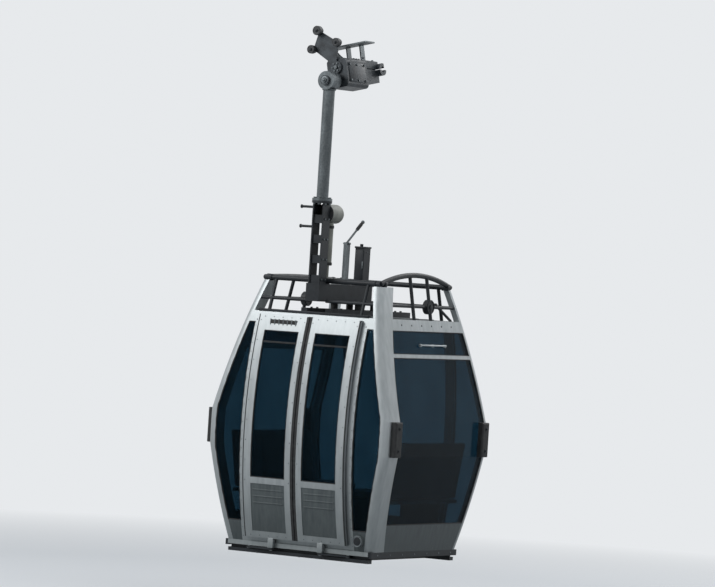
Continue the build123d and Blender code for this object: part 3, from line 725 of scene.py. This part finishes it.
bm = bmesh.new()
for way, height in ((1, 0.011), (-1, 0.013)):
    for place in ring_places((0, HANGER_Y, FLANGE_Z + way * FLANGE_THICK), BOLT_RING, FLANGE_BOLTS, 0.2):
        if way > 0 or max(abs(place.x), abs(place.y - HANGER_Y)) > COLUMN_HALF:
            add_hex(bm, place, (0, 0, way), 0.021, height)
gap = FLANGE_Z - FLANGE_THICK - FOOT_TOP
for web in range(4):
    level = FOOT_TOP + gap * web / 4 + 0.035
    for out in (-1, 1):
        for y in (HANGER_Y - 0.028, HANGER_Y + 0.028):
            add_hex(bm, (out * COLUMN_HALF, y, level), (out, 0, 0), 0.017, 0.008)
for x in (-0.12, 0.12):
    for y in (-0.17, 0.08):
        add_disc(bm, (x, y, -1.975), (x, y, -1.972), 0.021)
        add_hex(bm, (x, y, -1.972), (0, 0, 1), 0.024, 0.013)
piece_from(bm, "hanger_bolts", "cabin", "galvanised")

# %% [markdown]
# A weld bead runs round the tube above its flange, and others join the foot beam. A bead is a chain of
# small overlapping ripples, made as one round bar whose radius swells and shrinks along its way.

# %% Weld beads
HANGER_R, RIPPLE = 0.050, 0.82


def weld(points, radius, name, body, slot, closed):
    """A rippled bead of weld along points."""
    made = bead(points, radius, name, body, slot, closed)
    middle = [Vector(p) for p in points]
    for vertex in made.data.vertices:
        nearest = min(range(len(middle)), key=lambda k: (vertex.co - middle[k]).length_squared)
        if nearest % 2:
            vertex.co = middle[nearest].lerp(vertex.co, RIPPLE)
    return made


for name, z in (("flange_weld", FLANGE_Z + FLANGE_THICK + 0.003), ("eye_weld", -0.196)):
    weld(ring_places((0, HANGER_Y, z), HANGER_R + 0.002, 56), 0.007, name, "cabin", "galvanised", True)
for hand, side in SIDES:
    across = levels(HANGER_Y - 0.05, HANGER_Y + 0.05, 21)
    weld([(side * (COLUMN_HALF + 0.001), y, FOOT_TOP + 0.002) for y in across],
         0.006, "column_weld_" + hand, "cabin", "black_steel", False)

# %% [markdown]
# The cabin's damper hangs beside the column: a pale round housing with a black end cap, and a strut with
# collars. The release box has a lid with a latch, and the hand lever wears a rubber sleeve.

# %% Damper, box and lever details
DAMPER_Z, DAMPER_FACE, DAMPER_BOLT_RING = -1.235, -0.412, 0.062
STRUT_Y, STRUT_FOOT, COLLAR_R, BOX_HALF = -0.52, -1.825, 0.041, 0.0465
bm = bmesh.new()
add_disc(bm, (0, DAMPER_FACE, DAMPER_Z), (0, DAMPER_FACE + 0.027, DAMPER_Z), 0.036, 32, 0.006)
add_disc(bm, (0, -0.606, DAMPER_Z), (0, -0.596, DAMPER_Z), 0.084, 48, 0.003)
for z in (-1.345, -1.655):
    add_disc(bm, (0, STRUT_Y, z - 0.012), (0, STRUT_Y, z + 0.012), COLLAR_R, 32, 0.003)
add_disc(bm, (0, STRUT_Y, STRUT_FOOT), (0, STRUT_Y, STRUT_FOOT + 0.025), 0.032, 32, 0.004)
piece_from(bm, "damper_collars", "cabin", "black_rubber")

bm = bmesh.new()
for dx, dz in circle_places(6, DAMPER_BOLT_RING):
    add_hex(bm, (dx, DAMPER_FACE - 0.004, DAMPER_Z + dz), (0, 1, 0), 0.009, 0.006)
for sx in (-1, 1):
    for z in (-1.79, -1.54):
        add_dome(bm, (sx * BOX_HALF, 0.045, z), (sx, 0, 0), 0.006)
add_block(bm, (0.030, -0.013, -1.68), (0.040, -0.004, -1.62), 0.002)
piece_from(bm, "box_fixings", "cabin", "galvanised")

bm = bmesh.new()
add_block(bm, (-0.051, -0.011, -1.508), (0.051, 0.101, -1.492), 0.003)
add_block(bm, (-0.038, -0.0085, -1.80), (0.038, -0.004, -1.525), 0.002)
add_disc(bm, (0.0, 0.02, -1.493), (0.0, 0.02, -1.470), 0.014, 24, 0.003)
piece_from(bm, "box_lid", "cabin", "black_steel")

LEVER_Y, LEVER_PIN_Z, LEVER_PIN_HALF = -0.220, -1.475, 0.026
lever_foot, lever_tip = Vector((0, LEVER_Y, -1.467)), Vector((0, 0.015, -1.285))
lever_way = (lever_tip - lever_foot).normalized()
bm = bmesh.new()
add_disc(bm, lever_tip - lever_way * 0.115, lever_tip - lever_way * 0.012, 0.0135, 24, 0.003)
for k in range(5):
    at = lever_tip - lever_way * (0.035 + 0.016 * k)
    add_disc(bm, at - lever_way * 0.003, at + lever_way * 0.003, 0.0155, 24, 0.001)
piece_from(bm, "lever_sleeve", "cabin", "black_rubber")
bm = bmesh.new()
pin_ends = [(sx * LEVER_PIN_HALF, LEVER_Y, LEVER_PIN_Z) for sx in (-1, 1)]
add_disc(bm, *pin_ends, 0.011, 24, 0.002)
for place, sx in zip(pin_ends, (-1, 1)):
    add_hex(bm, place, (sx, 0, 0), 0.018, 0.008)
piece_from(bm, "lever_pivot", "cabin", "galvanised")

# %% [markdown]
# The climbing pegs end in a flat head so that a foot can't slip off, and each is held by a nut. Rings
# along the peg give the foot a hold.

# %% Peg ends
PEG_LEVELS = (-1.185, -1.350)
bm = bmesh.new()
for z in PEG_LEVELS:
    add_disc(bm, (-0.203, HANGER_Y, z), (-0.192, HANGER_Y, z), 0.016, 24, 0.002)
    add_hex(bm, (-0.055, HANGER_Y, z), (-1, 0, 0), 0.030, 0.012)
    for k in range(9):
        x = -0.085 - 0.012 * k
        add_disc(bm, (x - 0.0015, HANGER_Y, z), (x + 0.0015, HANGER_Y, z), 0.0112, 20)
piece_from(bm, "peg_ends", "cabin", "black_steel")

# %% [markdown]
# The open rail on the roof is tube, with two sleeves at each corner. Round plates sit on the lower end
# rails, each with a raised rim and a hub, and a round brace runs from the right one down to the rear
# corner of the header.

# %% Roof rail fixings
RAIL_X, RAIL_Y, RAIL_Z, RAIL_R = 0.572, 0.572, -1.798, 0.022
MID_Z, EYE_Y, EYE_R = -1.970, 0.165, 0.062
CLAMP_NEAR, CLAMP_FAR, CLAMP_R = 0.040, 0.075, RAIL_R + 0.006
HEADER_TOP = -2.085


def wire_circle(bm, centre, axis, radius, wire, section):
    """The section of a wire at its start, ready to be spun about an axis: points, and edges."""
    turn = turned_to(axis)
    circle = bmesh.ops.create_circle(bm, segments=section, radius=wire)["verts"]
    start = Matrix.Translation(centre + turn.to_3x3() @ Vector((radius, 0, 0)))
    bmesh.ops.transform(bm, matrix=start @ turn @ Matrix.Rotation(math.pi / 2, 4, "X"), verts=circle)
    return circle, edges_at(circle)


def add_ring(bm, centre, normal, radius, wire, around=40, section=10):
    """A round ring: a small circle spun about an axis."""
    centre, normal = Vector(centre), Vector(normal).normalized()
    circle, edges = wire_circle(bm, centre, normal, radius, wire, section)
    bmesh.ops.spin(bm, geom=circle + edges, cent=centre, axis=normal, angle=2 * math.pi,
                   steps=around, use_merge=True, use_normal_flip=False, use_duplicate=False)


bm = bmesh.new()
for sx, sy in CORNERS:
    x, y, z = sx * RAIL_X, sy * RAIL_Y, RAIL_Z + 0.001
    add_disc(bm, (x - sx * CLAMP_FAR, y, RAIL_Z), (x - sx * CLAMP_NEAR, y, RAIL_Z), CLAMP_R, 28, 0.002)
    add_disc(bm, (x, y - sy * CLAMP_FAR, z), (x, y - sy * CLAMP_NEAR, z), CLAMP_R, 28, 0.002)
for sx in (-1, 1):
    x = sx * (end_x(MID_Z) - 0.020)
    for face in (-0.0225, 0.0225):
        add_ring(bm, (x + face, EYE_Y, MID_Z), (1, 0, 0), EYE_R - 0.008, 0.0055)
        add_disc(bm, (x + face * 0.9, EYE_Y, MID_Z), (x + face * 1.35, EYE_Y, MID_Z), 0.020, 24, 0.003)
piece_from(bm, "roof_rail_clamps", "cabin", "black_steel")

bm = bmesh.new()
add_disc(bm, (0.598, 0.296, -1.945), (0.640, 0.505, -2.082), 0.012, 20, 0.002)
add_disc(bm, (0.600, 0.285, -1.955), (0.600, 0.310, -1.955), 0.020, 24, 0.003)
piece_from(bm, "roof_brace", "cabin", "black_steel")

# %% [markdown]
# The roof is sheet with pressed ribs, so that it doesn't drum in the wind. The ribs run across and stop
# short of the header. Bolts fix the beams, and rivets the header.

# %% Roof ribs and beam bolts
ROOF_RIB_HALF, END_RIVET_Z, SIDE_RIVET_Z = 0.018, -2.130, -2.160
rib_low, rib_high = HEADER_TOP - 0.002, HEADER_TOP + 0.008
bm = bmesh.new()
for x in (-0.46, -0.31, 0.31, 0.46):
    add_block(bm, (x - ROOF_RIB_HALF, -0.50, rib_low), (x + ROOF_RIB_HALF, 0.50, rib_high), 0.004)
for y in (-0.35, 0.30):
    add_block(bm, (-0.075, y - ROOF_RIB_HALF, rib_low), (0.075, y + ROOF_RIB_HALF, rib_high), 0.004)
piece_from(bm, "roof_ribs", "cabin", "grey_panel")
bm = bmesh.new()
for x in (-0.12, 0.12):
    for y in (-0.53, -0.44, 0.44, 0.53):
        add_hex(bm, (x, y, HEADER_TOP + 0.050), (0, 0, 1), 0.020, 0.010)
for sx in (-1, 1):
    for y in levels(-0.36, 0.46, 6):
        add_dome(bm, (sx * (end_x(END_RIVET_Z) - 0.001), y, END_RIVET_Z), (sx, 0, 0.26), 0.009)
    for x in levels(-0.54, 0.54, 9):
        add_dome(bm, (x, sx * (side_y(SIDE_RIVET_Z) - 0.001), SIDE_RIVET_Z), (0, sx, 0.25), 0.006)
piece_from(bm, "header_bolts", "cabin", "black_steel")

# %% [markdown]
# Above the doors a dark track runs along the header. Under each leaf a shroud hides the lug that stands
# on the door arm. Both are pressed sheet with soft edges.

# %% Door track, shrouds and pin caps
PIN_X, PIN_Y, PIVOT_X, PIVOT_Y = 0.245, -0.734307, 0.491202, -0.690895
SHROUD_LOW, SHROUD_HIGH, ARM_UNDER = -4.070, -3.986, -4.089
bm = bmesh.new()
y = -side_y(-2.075)
add_block(bm, (-0.545, y - 0.010, -2.0850), (0.545, y + 0.030, -2.0640), 0.003)
piece_from(bm, "door_track", "cabin", "black_steel")
for hand, side in SIDES:
    bm = bmesh.new()
    x = side * PIN_X
    add_block(bm, (x - 0.026, PIN_Y - 0.020, SHROUD_LOW), (x + 0.026, PIN_Y + 0.0175, SHROUD_HIGH), 0.003)
    add_disc(bm, (x, PIN_Y, ARM_UNDER - 0.006), (x, PIN_Y, ARM_UNDER - 0.0025), 0.015, 24, 0.001)
    piece_from(bm, "lug_shroud_" + hand, "door_leaf_" + hand, "silver")
    bm = bmesh.new()
    x = side * PIVOT_X
    add_disc(bm, (x, PIVOT_Y, ARM_UNDER - 0.006), (x, PIVOT_Y, ARM_UNDER - 0.0025), 0.020, 24, 0.001)
    add_hex(bm, (x, PIVOT_Y, ARM_UNDER - 0.006), (0, 0, -1), 0.018, 0.004)
    piece_from(bm, "arm_pivot_cap_" + hand, "cabin", "galvanised")

# %% [markdown]
# The top of each leaf window is a small flap for air: a second sheet above a bar. The end walls have a flap
# over their whole width with one long latch bar.

# %% Window flaps and latch bars
FLAP_LOW = -2.340
for hand, side in SIDES:
    body = "door_leaf_" + hand
    x0, x1 = sorted((side * (LEAF_GLASS_IN + 0.004), side * (LEAF_GLASS_OUT - 0.004)))
    bm = bmesh.new()
    y = leaf_face(FLAP_LOW, 0.006)
    add_block(bm, (x0, y - 0.004, FLAP_LOW - 0.008), (x1, y + 0.004, FLAP_LOW + 0.008), 0.0025)
    piece_from(bm, "flap_bar_" + hand, body, "black_rubber")
    bm = bmesh.new()
    cube = bmesh.ops.create_cube(bm, size=1.0)
    slope = Matrix.Identity(4)
    slope[1][2] = (leaf_face(LEAF_PANE_HIGH, 0.006) - y) / (LEAF_PANE_HIGH - FLAP_LOW)
    slope[1][3] = y - slope[1][2] * FLAP_LOW
    size = Matrix.Diagonal((x1 - x0, 0.003, LEAF_PANE_HIGH - FLAP_LOW - 0.010, 1.0))
    place = Matrix.Translation(((x0 + x1) / 2, 0, (LEAF_PANE_HIGH + FLAP_LOW) / 2))
    bmesh.ops.transform(bm, matrix=slope @ place @ size, verts=cube["verts"])
    piece_from(bm, "flap_sheet_" + hand, body, "smoked_pane")

LATCH_Z, LATCH_Y, LATCH_HALF = -2.292, 0.090, 0.215
for hand, side in SIDES:
    bm = bmesh.new()
    x = side * (end_x(LATCH_Z) + 0.010)
    add_disc(bm, (x, LATCH_Y - LATCH_HALF, LATCH_Z), (x, LATCH_Y + LATCH_HALF, LATCH_Z), 0.0075, 20, 0.002)
    for y in (LATCH_Y - LATCH_HALF + 0.012, LATCH_Y, LATCH_Y + LATCH_HALF - 0.012):
        low = (x - side * 0.019, y - 0.010, LATCH_Z - 0.014)
        add_block(bm, low, (x + side * 0.004, y + 0.010, LATCH_Z + 0.010), 0.003)
    piece_from(bm, "vent_latch_" + hand, "cabin", "silver")

# %% [markdown]
# The rubber buffers are each held by two screws with washers. The round cover over the door drive has
# a rolled rim and three small screws.

# %% Buffer screws and drive cover
BUFFER_X, BUFFER_Y = 0.935, 0.720
bm = bmesh.new()
for sx, sy in CORNERS:
    for z in (-2.985, -3.170):
        at, out = Vector((sx * BUFFER_X, sy * BUFFER_Y, z)), Vector((sx * 0.003, 0, 0))
        add_disc(bm, at - out, at + out, 0.018, 28, 0.001)
        add_hex(bm, at + out, (sx, 0, 0), 0.019, 0.008)
piece_from(bm, "buffer_screws", "cabin", "black_steel")

COVER_X, COVER_Z, COVER_R, COVER_PROUD = 0.605, -3.945, 0.048, 0.025
cover_y = -(side_y(COVER_Z) + COVER_PROUD)
bm = bmesh.new()
add_ring(bm, (COVER_X, cover_y + 0.002, COVER_Z), (0, 1, 0), COVER_R - 0.005, 0.0055)
piece_from(bm, "cover_rim", "cabin", "galvanised")
bm = bmesh.new()
face_y = cover_y - 0.001
add_disc(bm, (COVER_X, face_y, COVER_Z), (COVER_X, cover_y + 0.004, COVER_Z), COVER_R - 0.012, 40, 0.001)
for dx, dz in circle_places(3, COVER_R / 2, 0.4):
    add_dome(bm, (COVER_X + dx, face_y, COVER_Z + dz), (0, -1, 0), 0.004)
piece_from(bm, "cover_face", "cabin", "black_steel")

# %% [markdown]
# The panels are riveted to the frames. Rows of small domes follow the wall's curve along the jambs, the
# rear mullions and the lower panels.

# %% Rivets on the walls
JAMB_X, MULLION_X, RIVET_R, RIVET_SINK = 0.541, 0.485, 0.0045, 0.0005
PANEL_ROWS = (-3.822, -4.008)
for wall, sy in WALLS:
    bm = bmesh.new()
    columns = [-JAMB_X, JAMB_X] + ([-MULLION_X, MULLION_X] if sy > 0 else [])
    spots = [(x, z) for x in columns for z in levels(-3.99, -2.21, 25)]
    spots += [(sx * x, -3.875) for sx in (-1, 1) for x in levels(0.58, 0.66, 3)]
    if sy > 0:
        spots += [(x, z) for x in levels(-0.44, 0.44, 15) for z in PANEL_ROWS]
    for x, z in spots:
        add_dome(bm, (x, sy * (side_y(z) - RIVET_SINK), z), (0, sy, 0), RIVET_R)
    piece_from(bm, "wall_rivets_" + wall, "cabin", "galvanised")
for hand, sx in SIDES:
    bm = bmesh.new()
    for y in levels(-0.45, 0.58, 15):
        for z in PANEL_ROWS:
            add_dome(bm, (sx * (end_x(z) - RIVET_SINK), y, z), (sx, 0, -0.2), RIVET_R)
    piece_from(bm, "wall_rivets_" + hand, "cabin", "galvanised")

# %% [markdown]
# From below, the floor pan shows its stiffening ribs between the skid bars, and the skids show the heads
# of their screws.

# %% Underside
FLOOR_UNDER, SKID_UNDER = -4.030, -4.127
bm = bmesh.new()
for y in levels(-0.48, 0.48, 5):
    add_block(bm, (-0.66, y - 0.022, FLOOR_UNDER - 0.014), (0.66, y + 0.022, FLOOR_UNDER + 0.002), 0.005)
for x in (-0.63, -0.21, 0.21, 0.63):
    add_block(bm, (x - 0.015, -0.60, FLOOR_UNDER - 0.009), (x + 0.015, 0.60, FLOOR_UNDER + 0.002), 0.004)
piece_from(bm, "floor_ribs", "cabin", "galvanised")
bm = bmesh.new()
for x in (-0.42, 0.0, 0.42):
    for y in (-0.670, -0.578, 0.578, 0.670):
        add_dome(bm, (x, y, SKID_UNDER), (0, 0, -1), 0.013, 0.004)
for sx in (-1, 1):
    for y in levels(-0.6, 0.6, 7):
        add_dome(bm, (sx * 0.725, y, -4.056), (sx, 0, 0), 0.008)
piece_from(bm, "skid_screws", "cabin", "galvanised")

# %% [markdown]
# The grip climbs towards the right, so its details are built level and then tilted all at once. Its
# springs are real coils here: a small circle is spun round the spring's axis and carried along it, on a
# core rod between two cups.

# %% Spring coils
GRIP_SLOPE = math.radians(11.5)
GRIP_TILT = Matrix.Rotation(-GRIP_SLOPE, 4, "Y")
SPRING_TIP_X, SPRING_TIP_Z, SPRING_ROWS = -0.170, 0.245, (-0.520, -0.445)
SPRING_ROOT, SPRING_FOOT, CUP_R = 0.036, 0.072, 0.034
COIL_R, WIRE_R, COIL_TURNS, COIL_STEPS = 0.0275, 0.006, 11, 20


def add_coil(bm, start, end, radius, wire, turns):
    """A spring wire wound from start to end."""
    along = end - start
    circle, first = wire_circle(bm, start, along, radius, wire, 8)
    steps = turns * COIL_STEPS
    wound = bmesh.ops.spin(bm, geom=circle + first, cent=start, axis=along.normalized(),
                           dvec=along / steps, angle=2 * math.pi * turns, steps=steps, use_merge=False,
                           use_normal_flip=False, use_duplicate=False)
    last = [e for e in wound["geom_last"] if isinstance(e, bmesh.types.BMEdge)]
    for loop in (first, last):
        bmesh.ops.edgeloop_fill(bm, edges=[e for e in loop if e.is_valid])


def grip_piece(bm, name, slot):
    """Tilt a bmesh that was built level, and make it a piece of the grip."""
    bmesh.ops.transform(bm, matrix=GRIP_TILT, verts=bm.verts)
    return piece_from(bm, name, "grip", slot)


coils, cores = bmesh.new(), bmesh.new()
for y in SPRING_ROWS:
    tip = Vector((SPRING_TIP_X, y, SPRING_TIP_Z))
    root = Vector((0, y, SPRING_ROOT))
    way = (tip - root).normalized()
    foot = root + way * (SPRING_FOOT - SPRING_ROOT) / way.z
    add_coil(coils, foot + way * 0.012, tip - way * 0.014, COIL_R, WIRE_R, COIL_TURNS)
    add_disc(cores, foot, tip - way * 0.004, 0.0155, 24, 0.001)
    add_disc(cores, tip - way * 0.012, tip, CUP_R, 32, 0.003)
    add_disc(cores, foot - way * 0.004, foot + way * 0.010, CUP_R, 32, 0.002)
    add_hex(cores, tip - way * 0.001, way, 0.026, 0.001)
coil_piece = grip_piece(coils, "spring_coils", "galvanised")
core_piece = grip_piece(cores, "spring_cores", "galvanised")
for made in (coil_piece, core_piece):
    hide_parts("grip_springs")

# %% [markdown]
# Ribs stiffen the housing, a bolted plate closes it on each side, and the lever's hub, the jaw and the
# pin show their nuts.

# %% Grip fixings
PLATE_FACE, LEG_X, LEVER_FACE, HUB_R = 0.100, 0.066, -0.576, 0.034
bm = bmesh.new()
for y in (-0.375, -0.335, -0.295):
    add_block(bm, (-0.070, y - 0.007, 0.068), (0.070, y + 0.007, 0.079), 0.003)
for sx in (-1, 1):
    add_block(bm, (sx * 0.094, -0.525, -0.135), (sx * PLATE_FACE, -0.265, 0.030), 0.002)
add_block(bm, (-0.060, -0.222, 0.069), (0.060, -0.020, 0.076), 0.003)
grip_piece(bm, "housing_plates", "cast_grip")

bm = bmesh.new()
for sx in (-1, 1):
    for y in (-0.510, -0.395, -0.280):
        for z in (-0.120, 0.015):
            add_hex(bm, (sx * PLATE_FACE, y, z), (sx, 0, 0), 0.018, 0.008)
for x in (-0.045, 0.045):
    for y in (-0.200, -0.045):
        add_hex(bm, (x, y, 0.076), (0, 0, 1), 0.022, 0.010)
for sx in (-1, 1):
    add_hex(bm, (sx * LEG_X, -0.256, 0.202), (0, 0, 1), 0.010, 0.006)
    add_hex(bm, (sx * (LEG_X + 0.006), -0.232, 0.090), (sx, 0, 0), 0.016, 0.007)
for x, z in circle_places(6, HUB_R):
    add_hex(bm, (x, LEVER_FACE, z), (0, -1, 0), 0.015, 0.008)
add_hex(bm, (0, LEVER_FACE, 0), (0, -1, 0), 0.034, 0.014)
grip_piece(bm, "grip_bolts", "galvanised")

# The pivot pin isn't tilted with the grip, so its nut is built where it belongs
NUT_FACE, NUT_Z = -0.741, -0.120
bm = bmesh.new()
add_disc(bm, (0, NUT_FACE - 0.003, NUT_Z), (0, NUT_FACE + 0.001, NUT_Z), 0.034, 32, 0.001)
add_hex(bm, (0, NUT_FACE - 0.003, NUT_Z), (0, -1, 0), 0.046, 0.016)
add_disc(bm, (0, NUT_FACE - 0.019, NUT_Z), (0, NUT_FACE - 0.026, NUT_Z), 0.012, 24, 0.002)
piece_from(bm, "pivot_nut", "grip", "galvanised")

# %% [markdown]
# The rollers have a raised ring and three screws, so their turning can be seen. These ride on the roller.
# The nut on its axle stays with the grip.

# %% Rollers
ROLLERS = [
    # body, radius, half width, place along X, level
    ("coupling_roller", 0.040, 0.022, -0.185, 0.300),
    ("guide_roller_lower", 0.036, 0.020, -0.235, 0.140),
    ("guide_roller_upper", 0.036, 0.020, 0.005, 0.208),
]
ROLLER_INNER, RING_SINK = -0.581, 0.0005
for body, radius, half, x, z in ROLLERS:
    face = ROLLER_INNER - 2 * half
    bm = bmesh.new()
    for y in (face + RING_SINK, ROLLER_INNER - RING_SINK):
        add_ring(bm, (x, y, z), (0, 1, 0), radius * 0.76, 0.0022, 32, 8)
    for dx, dz in circle_places(3, radius * 0.52):
        add_dome(bm, (x + dx, face, z + dz), (0, -1, 0), 0.0035)
    piece_from(bm, body + "_face", body, "wheel_plastic")
    bm = bmesh.new()
    add_disc(bm, (x, face - 0.0055, z), (x, face - 0.0025, z), 0.0145, 24, 0.0008)
    add_hex(bm, (x, face - 0.0055, z), (0, -1, 0), 0.018, 0.006)
    piece_from(bm, body + "_nut", "grip", "black_steel")

# %% [markdown]
# A soft studio: one large lamp above and to the left of the camera, a fill from the right, one behind, and
# a pale world. The camera, mirrors and panes see the world pale, and other surfaces are lit by a dimmer,
# bluer sky. The floor fades into the background with distance, so no horizon cuts the picture.

# %% Studio
FLOOR_DROP, FLOOR_R = 0.45, 120.0
PALE, FLOOR_BOUNCE = (0.80, 0.82, 0.84), (0.12, 0.135, 0.15)
SKY, SKY_STRENGTH = (0.88, 0.94, 1.0), 0.38


def studio_floor():
    """Lit near the cabin, glowing evenly far off, and darker to the light that it throws back."""
    f = Finish("studio_floor", PALE, 0.9)
    shade = f.mix(f.node("ShaderNodeLightPath").outputs["Is Diffuse Ray"], PALE, FLOOR_BOUNCE)
    f.colour(shade)
    glow = f.node("ShaderNodeEmission")
    f.link(shade, glow.inputs["Color"])
    fade = f.node("ShaderNodeTexGradient", gradient_type="SPHERICAL")
    f.link(f.stretch((0.085, 0.085, 0.0)), fade.inputs["Vector"])
    near = f.node("ShaderNodeMapRange", **{"From Max": 0.55})
    f.link(fade.outputs["Fac"], near.inputs["Value"])
    blend = f.node("ShaderNodeMixShader")
    f.link(near.outputs["Result"], blend.inputs["Fac"])
    f.link(glow.outputs["Emission"], blend.inputs[1])
    f.link(f.shader.outputs["BSDF"], blend.inputs[2])
    f.link(blend.outputs["Shader"], f.tree.nodes["Material Output"].inputs["Surface"])
    return f.material


bm = bmesh.new()
bmesh.ops.create_circle(bm, cap_ends=True, segments=96, radius=FLOOR_R)
bmesh.ops.translate(bm, vec=(0, 0, CAD_BOX[0][2] - FLOOR_DROP), verts=bm.verts)
floor = object_from(bm, "studio_floor")
floor.data.materials.append(studio_floor())

world = bpy.data.worlds.new("studio")
bpy.context.scene.world = world
world.use_nodes = True
wt = world.node_tree
light_path = wt.nodes.new("ShaderNodeLightPath")
lighting = wt.nodes["Background"]
lighting.inputs["Color"].default_value = (*SKY, 1.0)
lighting.inputs["Strength"].default_value = SKY_STRENGTH
seen = wt.nodes.new("ShaderNodeBackground")
seen.inputs["Color"].default_value = (*PALE, 1.0)
sees_pale = light_path.outputs["Is Camera Ray"]
for ray in ("Is Transmission Ray", "Is Glossy Ray"):
    either = wt.nodes.new("ShaderNodeMath")
    either.operation = "MAXIMUM"
    wt.links.new(sees_pale, either.inputs[0])
    wt.links.new(light_path.outputs[ray], either.inputs[1])
    sees_pale = either.outputs[0]
choose = wt.nodes.new("ShaderNodeMixShader")
wt.links.new(sees_pale, choose.inputs["Fac"])
wt.links.new(lighting.outputs[0], choose.inputs[1])
wt.links.new(seen.outputs[0], choose.inputs[2])
wt.links.new(choose.outputs[0], wt.nodes["World Output"].inputs["Surface"])

LAMPS = [
    # name, place, size, power
    ("key", (-5.5, -7.5, 4.5), 5.0, 600.0),
    ("fill", (8.0, 0.5, 4.5), 6.0, 45.0),
    ("back", (1.5, 8.0, 3.5), 6.0, 300.0),
]
for name, place, size, power in LAMPS:
    data = bpy.data.lights.new(name, "AREA")
    data.size = size
    data.energy = power
    lamp = placed(name, data)
    lamp.location = place
    lamp.rotation_mode = "QUATERNION"
    lamp.rotation_quaternion = (target - Vector(place)).to_track_quat("-Z", "Y")
print("lamps", len(LAMPS))
